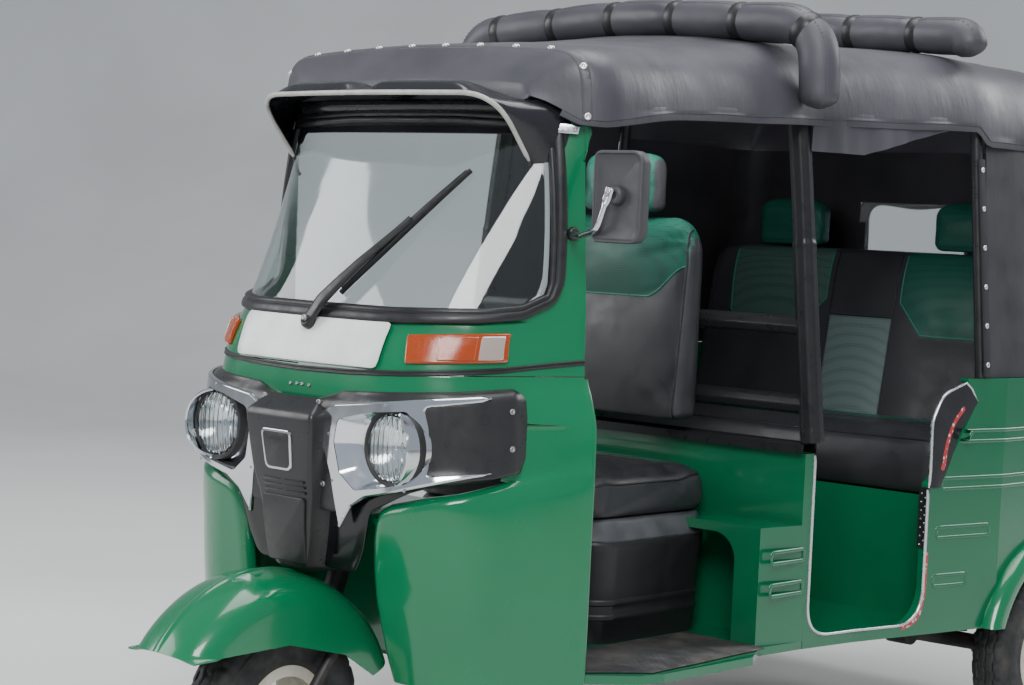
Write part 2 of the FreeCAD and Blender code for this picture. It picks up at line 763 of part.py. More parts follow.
# Partition behind the driver: a low box with an arched alcove, and a wall rising from its back
partition = new_body("partition")
plan = outline(partition, "partition_plan", "XY_Plane", [
    (-box_front_half_width, mm.box_front), (box_front_half_width, mm.box_front),
    (mm.box_back_half_width, wall_back), (-mm.box_back_half_width, wall_back)], mm.floor_top)
pad(partition, plan, mm.partition_height - mm.floor_top)
above_ledge = outline(partition, "above_ledge", "XY_Plane", [
    (-mm.body_half_width, mm.box_front - 10), (mm.body_half_width, mm.box_front - 10),
    (mm.body_half_width, mm.wall_front), (-mm.body_half_width, mm.wall_front)], mm.ledge_height)
pocket(partition, above_ledge, mm.partition_height, backwards=True)
alcove = outline(partition, "alcove", "XZ_Plane", [
    (-alcove_half_width, mm.floor_top - 5), (alcove_half_width, mm.floor_top - 5),
    (alcove_half_width, mm.alcove_top), (-alcove_half_width, mm.alcove_top)], -mm.wall_front)
alcove_cut = pocket(partition, alcove, mm.wall_front - mm.box_front + 10, backwards=True)


def alcove_corners(first, last):
    return (along_y(first, last) and abs(first.z - mm.alcove_top) < 0.1
            and abs(abs(first.x) - alcove_half_width) < 0.1)


round_edges(partition, alcove_cut, mm.alcove_corner, alcove_corners)
seat_notch = outline(partition, "seat_notch", "XY_Plane", [
    (-mm.seat_base_half_width - 4, mm.box_front - 10), (mm.seat_base_half_width + 4, mm.box_front - 10),
    (mm.seat_base_half_width + 4, mm.driver_seat_back - 4), (-mm.seat_base_half_width - 4, mm.driver_seat_back - 4)],
    mm.alcove_top - 20)
pocket(partition, seat_notch, mm.ledge_height - mm.alcove_top + 40, backwards=True)

strip = new_body("partition_strip")
strip_plan = outline(strip, "strip_plan", "XY_Plane", [
    (-mm.box_back_half_width, mm.strip_front), (mm.box_back_half_width, mm.strip_front),
    (mm.box_back_half_width + 4, wall_back + 14), (-mm.box_back_half_width - 4, wall_back + 14)],
    mm.partition_height)
pad(strip, strip_plan, mm.strip_height)

# Driver's seat: moulded base, cushion and one tall backrest with its headrest
seat_base = new_body("driver_seat_base")
base_plan = outline(seat_base, "base_plan", "XY_Plane", [
    (-mm.seat_base_half_width, mm.seat_base_front), (mm.seat_base_half_width, mm.seat_base_front),
    (mm.seat_base_half_width, mm.driver_seat_back - 10), (-mm.seat_base_half_width, mm.driver_seat_back - 10)],
    mm.floor_top)
base_pad = pad(seat_base, base_plan, mm.seat_base_top - mm.floor_top)
round_edges(seat_base, base_pad, Size(70), upright)

cushion = new_body("driver_cushion")
cushion_plan = outline(cushion, "cushion_plan", "XY_Plane", [
    (-mm.driver_seat_half_width, mm.driver_seat_front), (mm.driver_seat_half_width, mm.driver_seat_front),
    (mm.driver_seat_half_width, mm.driver_seat_back), (-mm.driver_seat_half_width, mm.driver_seat_back)],
    mm.seat_base_top + mm.seat_gap)
cushion_pad = pad(cushion, cushion_plan, mm.driver_seat_top - mm.seat_base_top)
cushion_corners = round_edges(cushion, cushion_pad, Size(60), upright)


def top_edges(height):
    return lambda first, last: abs(first.z - height) < 0.1 and abs(last.z - height) < 0.1


round_edges(cushion, cushion_corners, mm.cushion_round, top_edges(mm.driver_seat_top + mm.seat_gap))

bars_front = mm.wall_front + 5 - mm.guard_bar_radius
rest_back = bars_front - mm.seat_gap
backrest = new_body("driver_backrest")
rest_side = outline(backrest, "rest_side", "YZ_Plane", [
    (rest_back - 108, mm.driver_back_bottom), (rest_back, mm.driver_back_bottom),
    (rest_back, mm.driver_back_top), (rest_back - 64, mm.driver_back_top)])
rest_pad = pad(backrest, rest_side, mm.driver_back_half_width * 2, symmetric=True)


def top_corners(height):
    return lambda first, last: along_y(first, last) and abs(first.z - height) < 0.1


round_edges(backrest, rest_pad, Size(55), top_corners(mm.driver_back_top))
head_side = outline(backrest, "head_side", "YZ_Plane", [
    (rest_back - 68, mm.driver_back_top - 5), (rest_back - 6, mm.driver_back_top - 5),
    (rest_back - 6, mm.driver_head_top), (rest_back - 54, mm.driver_head_top)])
head_pad = pad(backrest, head_side, mm.driver_head_half_width * 2, symmetric=True)
round_edges(backrest, head_pad, Size(35), top_corners(mm.driver_head_top))

hoop_behind = mm.wall_front + 5
strip_top = mm.partition_height + mm.strip_height

# Stations along the rear body, measured from the rear axle
tail_back = mm.wheelbase + mm.tail_behind
rear_hoop_behind = mm.wheelbase - mm.rear_hoop_ahead
# Each row: behind the front axle, half width of the body there
BODY_WIDTHS = (
    (wall_back + mm.seat_gap, mm.box_back_half_width),
    (cabin_station(0.34), body_across(0.17)), (cabin_station(0.889), body_across(0.65)),
    (rear_hoop_behind, body_across(0.86)), (mm.wheelbase - 250, mm.body_half_width),
    (tail_back, mm.body_half_width),
)


def side_wall():
    """The right-hand body side: a strip that follows the plan widths, full height."""
    outer = [(across, behind) for behind, across in BODY_WIDTHS]
    inner = [(across - mm.body_wall, behind) for across, behind in reversed(outer)]
    sheet_wall = plan_prism(outer + inner, 0, mm.body_bottom, mm.belt_height)
    arch = Part.makeCylinder(mm.wheel_arch_radius, 300, Vector(500, mm.wheelbase, mm.tyre_radius), Vector(1, 0, 0))
    post_room = block((400, wall_back, mm.partition_height - mm.seat_gap), (700, hoop_behind + 33, mm.belt_height + 5))
    return sheet_wall.cut([arch, post_room])


shaped("side_panel_right", mirrored(side_wall()))
entry_top = mm.belt_height + 95
ENTRY = (
    (wall_back + 8, entry_top), (wall_back + 8, mm.floor_top + 6), (cabin_station(0.796), mm.floor_top + 6),
    (cabin_station(0.796), mm.belt_height - 245), (cabin_station(0.919), mm.belt_height - 199),
    (cabin_station(1.081), mm.belt_height - 70), (cabin_station(1.024), mm.belt_height - 5),
    (cabin_station(1.024), entry_top),
)
entry_turn = (riser_front - wall_back) * 0.16
entry = side_prism(ENTRY, [0, entry_turn, entry_turn * 1.12, 10, entry_turn * 0.75, entry_turn * 0.5, 0, 0], 300, 800)
left_panel = side_wall().cut(entry)
shaped("side_panel_left", max(left_panel.Solids, key=lambda solid: solid.Volume))

# Rear mudguard flares, one over each wheel arch
flare = Part.makeCylinder(mm.wheel_arch_radius + mm.mudguard_band, mm.mudguard_reach,
                          Vector(mm.body_half_width + mm.seat_gap, mm.wheelbase, mm.tyre_radius), Vector(1, 0, 0))
arch_centre = Vector(mm.body_half_width - 20, mm.wheelbase, mm.tyre_radius)
flare = flare.cut(Part.makeCylinder(mm.wheel_arch_radius, 100, arch_centre, Vector(1, 0, 0)))
flare = flare.common(block((0, 1000, mm.body_bottom), (800, tail_back, mm.belt_height)))
shaped("rear_mudguards", both_sides(flare))

# Passenger's deck: the riser in front of the bench and the deck over the engine
deck_low = mm.deck_top - mm.body_wall
deck = new_body("seat_deck")
deck_side = outline(deck, "deck_side", "YZ_Plane", [
    (riser_front, mm.floor_top), (riser_front + mm.body_wall, mm.floor_top),
    (riser_front + mm.body_wall, deck_low), (tail_back - mm.body_wall - mm.seat_gap, deck_low),
    (tail_back - mm.body_wall - mm.seat_gap, mm.deck_top), (riser_front, mm.deck_top)])
pad(deck, deck_side, (body_across(0.7) - mm.deck_clear) * 2, symmetric=True)

# Rear panel with the engine door's opening, two plate holes and hinge knuckles
rear_half = mm.body_half_width - mm.body_wall - mm.seat_gap
hinge = Vector(0, tail_back + 8, mm.door_bottom)
rear_panel = block((-rear_half, tail_back - mm.body_wall, mm.body_bottom), (rear_half, tail_back, mm.belt_height))
door_corners = outwards([(mm.door_half_width, mm.door_bottom), (mm.door_half_width, mm.door_top)])
rear_panel = rear_panel.cut(front_prism(door_corners, 30, tail_back - 60, tail_back + 60))
door = front_prism(outwards([(mm.door_half_width - mm.moving_gap, mm.door_bottom + mm.moving_gap),
                             (mm.door_half_width - mm.moving_gap, mm.door_top - mm.moving_gap)]),
                   24, tail_back - mm.body_wall, tail_back)


def above_door(share):
    """A height on the rear panel, as a share of the way up from the door to the belt."""
    return mm.door_top + (mm.belt_height - mm.door_top) * share


for side in (-1, 1):
    plate_at = Vector(side * 85, tail_back - 40, above_door(0.4857142857))
    plate_hole = Part.makeCylinder(3.2, 60, plate_at, Vector(0, 1, 0))
    rear_panel = rear_panel.cut(plate_hole)
    outer_x = side * 220
    fixed = bar(hinge + Vector(outer_x - 20, 0, 0), hinge + Vector(outer_x + 20, 0, 0), 6)
    web = block((outer_x - 20, tail_back - 1, mm.door_bottom - 12), (outer_x + 20, tail_back + 8, mm.door_bottom - 2))
    pin_end = side * 168
    pin = bar(hinge + Vector(outer_x, 0, 0), hinge + Vector(pin_end, 0, 0), 3)
    rear_panel = rear_panel.fuse([fixed, web, pin])
    near, far = sorted((side * 170, side * 194))
    eye = bar(hinge + Vector(near, 0, 0), hinge + Vector(far, 0, 0), 6)
    strap = block((near, tail_back, mm.door_bottom + 3), (far, tail_back + 8, mm.door_bottom + 40))
    door = door.fuse([eye, strap])
    door = door.cut(bar(hinge + Vector(near - 5, 0, 0), hinge + Vector(far + 5, 0, 0), 3 + mm.seat_gap))
for side in (-1, 1):
    near, far = sorted((side * 46, side * 276))
    for height in range(0, 6):
        low = mm.door_bottom + 80 + height * 34
        door = door.cut(block((near, tail_back - 60, low), (far, tail_back + 20, low + 12)))
shaped("rear_panel", rear_panel.removeSplitter())
shaped("engine_door", door.removeSplitter())

# Tail lamps
lamp_low, lamp_high = above_door(0.257), above_door(0.657)
tail_lamp = front_prism([(455, lamp_low), (575, lamp_low), (575, lamp_high), (455, lamp_high)],
                        (lamp_high - lamp_low) * 0.17, tail_back + mm.seat_gap, tail_back + 19)
shaped("tail_lamps", both_sides(tail_lamp))

# Passenger's bench: one long cushion, a leaning backrest and two headrests
bench_front = mm.wheelbase - mm.bench_front_ahead
bench_back = mm.wheelbase - mm.bench_back_ahead
bench = new_body("passenger_cushion")
bench_plan = outline(bench, "bench_plan", "XY_Plane", [
    (-mm.bench_half_width, bench_front), (mm.bench_half_width, bench_front),
    (mm.bench_half_width, bench_back), (-mm.bench_half_width, bench_back)], mm.deck_top + mm.seat_gap)
bench_pad = pad(bench, bench_plan, mm.bench_thick)
round_edges(bench, bench_pad, mm.cushion_round, top_edges(mm.deck_top + mm.seat_gap + mm.bench_thick))
bench_rest = new_body("passenger_backrest")
rest_low = mm.deck_top + mm.seat_gap
bench_side = outline(bench_rest, "bench_side", "YZ_Plane", [
    (bench_back + mm.seat_gap, rest_low), (bench_back + 90, rest_low), (bench_back + 200, mm.bench_rest_top),
    (bench_back + 104, mm.bench_rest_top)])
bench_rest_pad = pad(bench_rest, bench_side, mm.bench_rest_half_width * 2, symmetric=True)
round_edges(bench_rest, bench_rest_pad, mm.cushion_round, top_corners(mm.bench_rest_top))
near, far = mm.bench_head_near, mm.bench_head_far
for name, low, high in (("left", near, far), ("right", -far, -near)):
    head = outline(bench_rest, "head_" + name, "XZ_Plane", [
        (low, mm.bench_rest_top - 5), (high, mm.bench_rest_top - 5), (high, mm.bench_head_top),
        (low, mm.bench_head_top)], -(bench_back + 195))
    head_pad = pad(bench_rest, head, mm.bench_head_thick, backwards=False)
    round_edges(bench_rest, head_pad, mm.cushion_round, top_corners(mm.bench_head_top))

# Canopy, a sewn cover over the hoops. Each row is one section: behind the front axle, half width
# and height of its lower edge, the shoulder's place before rounding, the crown's height, the
# shoulder's radius.
low_edge = header - 11.7
CANOPY_LEVELS = (
    (306, 430, header + mm.seat_gap, 414, header + 16, header + 28, 10),
    (362, 480, header - 50, 462, header + 62, header + 78, 80),
    (428, 482, header - 42, 472, header + 102, header + 119, 110),
    (620, 482, header - 16, 472, header + 132, header + 160, 130),
    (1058, 482, header + 2, 472, header + 162, header + 194, 145),
    (mm.wheelbase - 360, 566, header + 22, 552, header + 182, header + 218, 150),
    (mm.wheelbase - 310, 572, low_edge, 556, header + 182, header + 222, 170),
    (mm.wheelbase + 200, 582, low_edge, 566, header + 174, header + 216, 170),
    (mm.wheelbase + 288, 575, low_edge, 540, header + 122, header + 162, 120),
)


def canopy_block(inset):
    wires = []
    last = len(CANOPY_LEVELS) - 1
    for row, (behind, low_across, low, across, shoulder, crown, radius) in enumerate(CANOPY_LEVELS):
        along = behind
        if row == 0:
            along = behind + inset
        if row == last:
            along = behind - inset
        drop = 40 if inset else 0
        side = [(low_across - inset, low - drop), (across - inset, shoulder - inset)]
        points = [Vector(x, along, z) for x, z in side]
        points.append(Vector(0, along, crown - inset))
        points += [Vector(-x, along, z) for x, z in reversed(side)]
        turn = max(radius - inset, 4)
        wires.append(rounded_wire(points, [0, turn, mm.crown_turn, turn, 0]))
    return Part.makeLoft(wires, True, True)


shaped("canopy", canopy_block(0).cut(canopy_block(mm.canopy_wall)))


def canopy_at(behind):
    """Half width, shoulder and crown of the canopy at one station, between its rows."""
    for first, second in zip(CANOPY_LEVELS, CANOPY_LEVELS[1:]):
        if first[0] <= behind <= second[0]:
            share = (behind - first[0]) / (second[0] - first[0])
            return [one + (two - one) * share for one, two in zip(first[1:], second[1:])]
    raise ValueError("no canopy at %s" % behind)


# Padded rolls strapped across the roof: the front one follows the cover down both sides, the
# rear one is short and lies on top
roll_away = mm.roll_radius - 0.5
front_low, front_low_height, front_across, front_shoulder, front_crown, front_turn = canopy_at(mm.front_roll_behind)
front_side = [Vector(front_low + roll_away + 1, mm.front_roll_behind, header + mm.front_roll_rise),
              Vector(front_across + roll_away, mm.front_roll_behind, front_shoulder + roll_away)]
front_points = front_side + [Vector(0, mm.front_roll_behind, front_crown + roll_away)]
front_points += [Vector(-point.x, point.y, point.z) for point in reversed(front_side)]
front_turns = [0, front_turn + roll_away, mm.crown_turn + roll_away, front_turn + roll_away, 0]
front_roll = tube(front_points, front_turns, mm.roll_radius)
rear_roll_behind = mm.wheelbase - mm.rear_roll_ahead
rear_across, rear_shoulder, rear_crown = canopy_at(rear_roll_behind)[2:5]
rear_side = [Vector(rear_across - 30, rear_roll_behind, rear_shoulder + 5),
             Vector(rear_across - 44, rear_roll_behind, rear_shoulder + roll_away + 9)]
rear_points = rear_side + [Vector(0, rear_roll_behind, rear_crown + roll_away + 2.5)]
rear_points += [Vector(-point.x, point.y, point.z) for point in reversed(rear_side)]
rear_roll = tube(rear_points, [0, 60, mm.crown_turn, 60, 0], mm.roll_radius)
shaped("roof_rolls", Part.makeCompound([front_roll, rear_roll]))

# Hoops under the canopy: the middle one is padded and has two guard bars, the rear one is bare steel


def hoop(behind, foot_across, foot_height, radius):
    low_across, low, across, shoulder, crown, turn = canopy_at(behind)
    inset = mm.canopy_wall + radius + 5
    side = [Vector(foot_across, behind, foot_height), Vector(low_across - inset, behind, low + 10),
            Vector(across - inset, behind, shoulder - inset)]
    points = side + [Vector(0, behind, crown - inset)]
    points += [Vector(-point.x, point.y, point.z) for point in reversed(side)]
    turns = [0, 300, turn - inset]
    return tube(points, turns + [3000] + list(reversed(turns)), radius)


post_foot_across = mm.box_back_half_width + mm.post_stand_off
lean = (post_foot_across - canopy_at(hoop_behind)[0] + mm.canopy_wall + mm.post_radius + 5) / (
    canopy_at(hoop_behind)[1] + 10 - strip_top)
foot_height = strip_top + mm.seat_gap + mm.post_radius * lean
middle = hoop(hoop_behind, post_foot_across, foot_height, mm.post_radius)
for height in (mm.upper_bar_height, mm.lower_bar_height):
    reach = post_foot_across - lean * (height - strip_top)
    middle = middle.fuse(bar(Vector(-reach, hoop_behind, height), Vector(reach, hoop_behind, height),
                             mm.guard_bar_radius))
shaped("hoop_middle", middle.removeSplitter())
shaped("hoop_rear", hoop(rear_hoop_behind, body_across(0.86) - 11.2, mm.belt_height + 1.3, mm.rear_hoop_radius))

# Rear curtain, the cover's lower sides and back, with a see-through window's opening
CURTAIN_LEVELS = (
    (mm.belt_height + mm.seat_gap, 598, 612, tail_back - 6),
    (low_edge - mm.seat_gap, 560, 572, mm.wheelbase + 287),
)


def curtain_block(inset):
    wires = []
    for height, front_across, across, back in CURTAIN_LEVELS:
        high = height + (1 if inset and height > 1000 else 0) - (1 if inset and height < 1000 else 0)
        front = rear_hoop_behind + 22 - (60 if inset else 0)
        side = [Vector(front_across - inset, front, high), Vector(across - inset, mm.wheelbase - 180, high),
                Vector(across - inset, back - inset, high)]
        points = side + [Vector(-point.x, point.y, point.z) for point in reversed(side)]
        turn = 90 - inset
        wires.append(rounded_wire(points, [0, 0, turn, turn, 0, 0]))
    return Part.makeLoft(wires, True, True)


curtain = curtain_block(0).cut(curtain_block(mm.curtain_wall))
back_window = front_prism(outwards([(250, 1130), (250, 1330)]), 40, mm.wheelbase + 150, mm.wheelbase + 400)
shaped("rear_curtain", curtain.cut(back_window))
pane_half, pane_low, pane_high = 250 - mm.seat_gap, 1130 + mm.seat_gap, 1330 - mm.seat_gap
pane_outline = front_prism(outwards([(pane_half, pane_low), (pane_half, pane_high)]),
                           40, mm.wheelbase + 150, mm.wheelbase + 400)
pane_outer, pane_inner = curtain_block(2), curtain_block(5)
shaped("rear_window", pane_outer.cut(pane_inner).common(pane_outline))

# Side curtain that closes the passenger's right side
curtain_wires = []
CLOSING_LEVELS = (
    (mm.belt_height + mm.seat_gap, mm.box_back_half_width - 2, body_across(0.86) - 15),
    (header, 474, 552),
)
for height, front_across, back_across in CLOSING_LEVELS:
    corners = [Vector(-front_across, hoop_behind + 32, height), Vector(-back_across, rear_hoop_behind - 18, height)]
    corners += [point + Vector(6, 0, 0) for point in reversed(corners)]
    curtain_wires.append(Part.makePolygon(corners + [corners[0]]))
shaped("side_curtain", Part.makeLoft(curtain_wires, True, True))

# Sun flap at the left entry, a loose strip below the canopy's edge
FLAP = (
    (hoop_behind + 4, header + 22), (hoop_behind + 6, header - 67), (cabin_station(0.317), header - 67),
    (cabin_station(0.919), header + 12), (cabin_station(0.95), header + 34))
flap_start, flap_end = FLAP[0][0], FLAP[-1][0]
flap_slope = (canopy_at(flap_end)[0] - canopy_at(flap_start)[0]) / (flap_end - flap_start)
flap_points = []
for behind, height in FLAP:
    edge = canopy_at(flap_start)[0] + flap_slope * (behind - flap_start) + 1
    flap_points.append(Vector(edge, behind, height))
flap_face = Part.Face(Part.makePolygon(flap_points + [flap_points[0]]))
shaped("sun_flap", flap_face.extrude(Vector(4, 0, 0)))

# Mirror on its bent arm, on the left pillar
mirror_arm = tube([Vector(404, 376, 1206), Vector(500, 340, 1208), Vector(566, 336, 1282)], 30, 6)
mirror_head = front_prism([(519, 1192), (644, 1192), (644, 1371), (519, 1371)], 28, 312, 338)
shaped("mirror", mirror_arm.fuse(mirror_head).cut(front_block(mm.seat_gap)).removeSplitter())

# Chassis rails under the floor, with cross tubes
rail_end = tail_back - 8
rails = bar(Vector(mm.rail_across, 420, mm.rail_height), Vector(mm.rail_across, rail_end, mm.rail_height), mm.rail_radius)
rails = rails.fuse([mirrored(rails)])
pivot_behind = mm.wheelbase - mm.pivot_ahead
pivot_reach = mm.arm_across + 34
for behind, reach, radius in ((440, 300, 16), (900, 300, 16), (pivot_behind, pivot_reach, mm.pivot_radius)):
    rails = rails.fuse(bar(Vector(-reach, behind, mm.rail_height), Vector(reach, behind, mm.rail_height), radius))
shaped("chassis_rails", rails.removeSplitter())

# Trailing arms that carry the rear wheels on stub axles, and the dampers above them
axle_point = Vector(mm.arm_across + 24, mm.wheelbase, mm.tyre_radius)
pivot_point = Vector(mm.arm_across, pivot_behind, mm.rail_height)
arm = bar(pivot_point, axle_point, 20)
arm = arm.fuse([
    bar(pivot_point - Vector(30, 0, 0), pivot_point + Vector(30, 0, 0), 34),
    bar(axle_point - Vector(20, 0, 0), axle_point + Vector(30, 0, 0), 30),
    bar(axle_point, Vector((mm.wheel_track + mm.hub_length) / 2 + 8, mm.wheelbase, mm.tyre_radius), mm.axle_radius)])
pivot_reach = Vector(60, 0, 0)
arm = arm.cut(bar(pivot_point - pivot_reach, pivot_point + pivot_reach, mm.pivot_radius + mm.seat_gap))
shaped("trailing_arms", both_sides(arm.removeSplitter()))
damper_foot = pivot_point + (axle_point - pivot_point) * 0.72
damper = bar(damper_foot + Vector(0, 0, 23.6), Vector(damper_foot.x, damper_foot.y, deck_low - mm.seat_gap), 14)
damper = damper.fuse(bar(damper_foot + Vector(0, 0, 90), Vector(damper_foot.x, damper_foot.y, deck_low - 40), 30))
shaped("dampers", both_sides(damper.removeSplitter()))

# Engine, one plain block between the rails, and the silencer behind it
engine_half = mm.rail_across - mm.rail_radius - mm.seat_gap
engine_back = mm.wheelbase + 170
shaped("engine", block((-engine_half, mm.wheelbase - 120, 252), (engine_half, engine_back, 560)))
silencer_at = engine_back + mm.seat_gap + 50
silencer = bar(Vector(-215, silencer_at, 334), Vector(140, silencer_at, 334), 50)
pipe = tube([Vector(130, silencer_at, 334), Vector(195, silencer_at, 334), Vector(195, silencer_at, 272),
             Vector(195, tail_back + 8, 272)], 24, 13)
shaped("silencer", silencer.fuse(pipe).removeSplitter())

# Rear bumper on two stays, with a towing eye
bumper_behind = tail_back + 4 + mm.bumper_radius
bumper = bar(Vector(-mm.bumper_half_width, bumper_behind, mm.bumper_height),
             Vector(mm.bumper_half_width, bumper_behind, mm.bumper_height), mm.bumper_radius)
for side in (-1, 1):
    low = Vector(side * mm.rail_across, bumper_behind, mm.rail_height)
    bumper = bumper.fuse([bar(low, low + Vector(0, 0, mm.bumper_height - mm.rail_height), 12),
                          bar(Vector(low.x, rail_end + mm.seat_gap, low.z), low + Vector(0, 12, 0), 12)])
eye_at = bumper_behind + 1
eye_low = mm.eye_height - 5
eye_plate = plan_prism([(-26, tail_back + 1), (26, tail_back + 1), (26, bumper_behind + mm.bumper_radius),
                        (-26, bumper_behind + mm.bumper_radius)], [0, 0, 16, 16], eye_low, eye_low + 10)
eye_web = block((-26, tail_back + 1, eye_low), (26, tail_back + 9, mm.bumper_height))
eye_hole = bar(Vector(0, eye_at, eye_low - 20), Vector(0, eye_at, eye_low + 20), mm.eye_radius)
shaped("rear_bumper", bumper.fuse([eye_plate, eye_web]).cut(eye_hole).removeSplitter())

failed = [item.Label for item in doc.Objects if "Invalid" in item.State or "Error" in item.State]
if failed:
    raise ValueError("failed objects: " + ", ".join(failed))
os.makedirs("parts", exist_ok=True)
for piece in pieces:
    shape = piece.Shape
    if shape.isNull() or not shape.isValid():
        raise ValueError(piece.Label + " is not a valid shape")
    shape.exportStep("parts/%s.step" % piece.Label)
    print(piece.Label, len(shape.Solids), round(shape.Volume / 1e6, 3), shape.BoundBox)
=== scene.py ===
import json
import math

import bmesh
import bpy
from mathutils import Matrix, Vector
from mathutils import noise as blender_noise
from mathutils.bvhtree import BVHTree
from mathutils.geometry import delaunay_2d_cdt

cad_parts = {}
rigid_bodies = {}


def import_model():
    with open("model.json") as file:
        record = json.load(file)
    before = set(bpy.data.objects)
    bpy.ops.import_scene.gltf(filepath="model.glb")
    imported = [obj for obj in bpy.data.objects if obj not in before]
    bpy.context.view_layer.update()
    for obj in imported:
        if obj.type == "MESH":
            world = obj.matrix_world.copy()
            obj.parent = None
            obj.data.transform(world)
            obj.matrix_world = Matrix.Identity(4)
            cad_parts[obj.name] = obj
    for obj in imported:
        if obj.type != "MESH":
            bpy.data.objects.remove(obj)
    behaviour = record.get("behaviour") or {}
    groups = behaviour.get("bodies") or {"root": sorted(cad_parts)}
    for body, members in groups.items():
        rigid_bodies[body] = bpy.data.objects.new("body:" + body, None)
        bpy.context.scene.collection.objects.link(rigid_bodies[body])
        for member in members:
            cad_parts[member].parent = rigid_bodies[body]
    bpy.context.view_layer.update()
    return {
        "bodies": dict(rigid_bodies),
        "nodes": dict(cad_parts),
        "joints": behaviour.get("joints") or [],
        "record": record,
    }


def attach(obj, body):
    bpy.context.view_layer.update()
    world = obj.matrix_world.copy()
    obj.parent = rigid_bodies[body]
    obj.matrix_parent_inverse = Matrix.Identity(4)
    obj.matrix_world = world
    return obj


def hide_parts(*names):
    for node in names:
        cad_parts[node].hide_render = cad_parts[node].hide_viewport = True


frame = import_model()
nodes = frame["nodes"]

# Front shell: two steel pressings that meet at a seam above the lamps, shaped like a rounded
# bow. Each row below is one level of it, in millimetres: height, how far the middle lies behind the
# front axle, the corner across and behind, the rear edge across and behind, the corner's softness.
FRONT_AXLE = 1017.5
SHELL_LEVELS = (
    (304, 105, 392, 112, 475, 401, 110), (421, 88, 396, 96, 475, 402, 120), (560, 67, 392, 82, 475, 402, 125),
    (684, 50, 384, 70, 475, 403, 130), (738, 45, 360, 71, 474, 404, 140), (814, 40, 350, 67, 472, 405, 145),
    (870, 40, 345, 66, 458, 406, 145), (921, 43, 338, 71, 440, 407, 145), (975, 58, 335, 86, 438, 406, 150),
    (1030, 80, 328, 108, 438, 405, 180), (1150, 145, 332, 172, 436, 399, 170),
    (1280, 217, 346, 242, 433, 392, 150), (1402, 285, 361, 308, 430, 386, 115),
    (1478, 330, 366, 350, 426, 381, 55),
)


def in_frame(across, behind, height):
    """A point measured in millimetres from the front axle, in the frame's metres."""
    return Vector((across, behind - FRONT_AXLE, height)) / 1000


def eased(rows, place):
    """Reads a table of rows at one place between its first column's values, without overshoot."""
    keys = [row[0] for row in rows]
    place = min(max(place, keys[0]), keys[-1])
    low = max(index for index in range(len(rows) - 1) if keys[index] <= place)
    span = keys[low + 1] - keys[low]
    share = (place - keys[low]) / span
    blend = (2 * share ** 3 - 3 * share ** 2 + 1, share ** 3 - 2 * share ** 2 + share,
             -2 * share ** 3 + 3 * share ** 2, share ** 3 - share ** 2)
    result = []
    for column in range(1, len(rows[0])):
        steps = [(rows[i + 1][column] - rows[i][column]) / (keys[i + 1] - keys[i])
                 for i in range(len(rows) - 1)]

        def slope(index):
            if index == 0 or index == len(rows) - 1:
                return steps[0] if index == 0 else steps[-1]
            before, after = steps[index - 1], steps[index]
            return 2 * before * after / (before + after) if before * after > 0 else 0.0

        result.append(blend[0] * rows[low][column] + blend[1] * span * slope(low)
                      + blend[2] * rows[low + 1][column] + blend[3] * span * slope(low + 1))
    return result


def shell_section(height):
    """The shell's outer line at one height, from the middle to the left rear edge, as (across, behind)."""
    middle, corner_x, corner_y, edge_x, edge_y, soft = eased(SHELL_LEVELS, height)
    line = []
    for step in range(25):
        across = (corner_x - soft) * step / 24
        line.append((across, middle + (corner_y - middle) * (across / corner_x) ** 1.6))
    start = line[-1]
    lean = 1.6 * (corner_y - middle) / corner_x * (start[0] / corner_x) ** 0.6
    side = math.hypot(edge_x - corner_x, edge_y - corner_y)
    leave = (corner_x + (edge_x - corner_x) * soft / side, corner_y + (edge_y - corner_y) * soft / side)
    meet = (corner_x, start[1] + lean * soft)
    handles = [start] + [(a[0] + (b[0] - a[0]) * 0.62, a[1] + (b[1] - a[1]) * 0.62)
                         for a, b in ((start, meet), (leave, (corner_x, corner_y)))] + [leave]
    for step in range(1, 21):
        t = step / 20
        weights = ((1 - t) ** 3, 3 * t * (1 - t) ** 2, 3 * t * t * (1 - t), t ** 3)
        line.append(tuple(sum(w * handle[axis] for w, handle in zip(weights, handles)) for axis in (0, 1)))
    for step in range(1, 13):
        line.append((leave[0] + (edge_x - leave[0]) * step / 12, leave[1] + (edge_y - leave[1]) * step / 12))
    return line


shell_levels_met = {}


def shell_run(height):
    """The section's points with the distance run along it from the middle."""
    if height not in shell_levels_met:
        line = shell_section(height)
        runs = [0.0]
        for first, second in zip(line, line[1:]):
            runs.append(runs[-1] + math.dist(first, second))
        shell_levels_met[height] = (line, runs)
    return shell_levels_met[height]


def shell_point(height, run, out=0.0):
    """A point of the shell, in metres in the row frame, at a distance along the section; the sign of
    run is the side. out is how far it stands off the surface, in millimetres."""
    side = -1.0 if run < 0 else 1.0
    run = abs(run)

    def on_surface(level, reach):
        line, runs = shell_run(level)
        index = max([i for i in range(len(runs) - 1) if runs[i] <= reach] or [0])
        share = (reach - runs[index]) / (runs[index + 1] - runs[index])
        first, second = line[index], line[index + 1]
        return Vector((first[0] + (second[0] - first[0]) * share, first[1] + (second[1] - first[1]) * share,
                       level))

    here = on_surface(height, run)
    if out:
        along = on_surface(height, run + 1.5) - on_surface(height, max(run - 1.5, 0.0))
        rise = on_surface(min(height + 2, 1478), run) - on_surface(max(height - 2, 304), run)
        here += along.cross(rise).normalized() * out
    return in_frame(side * here.x, here.y, here.z)


def shell_reach(height, across):
    """How far along the section the shell is this far across."""
    line, runs = shell_run(height)
    for index in range(len(line) - 1):
        if line[index][0] <= across <= line[index + 1][0]:
            share = (across - line[index][0]) / max(line[index + 1][0] - line[index][0], 1e-6)
            return runs[index] + share * (runs[index + 1] - runs[index])
    return runs[-1]


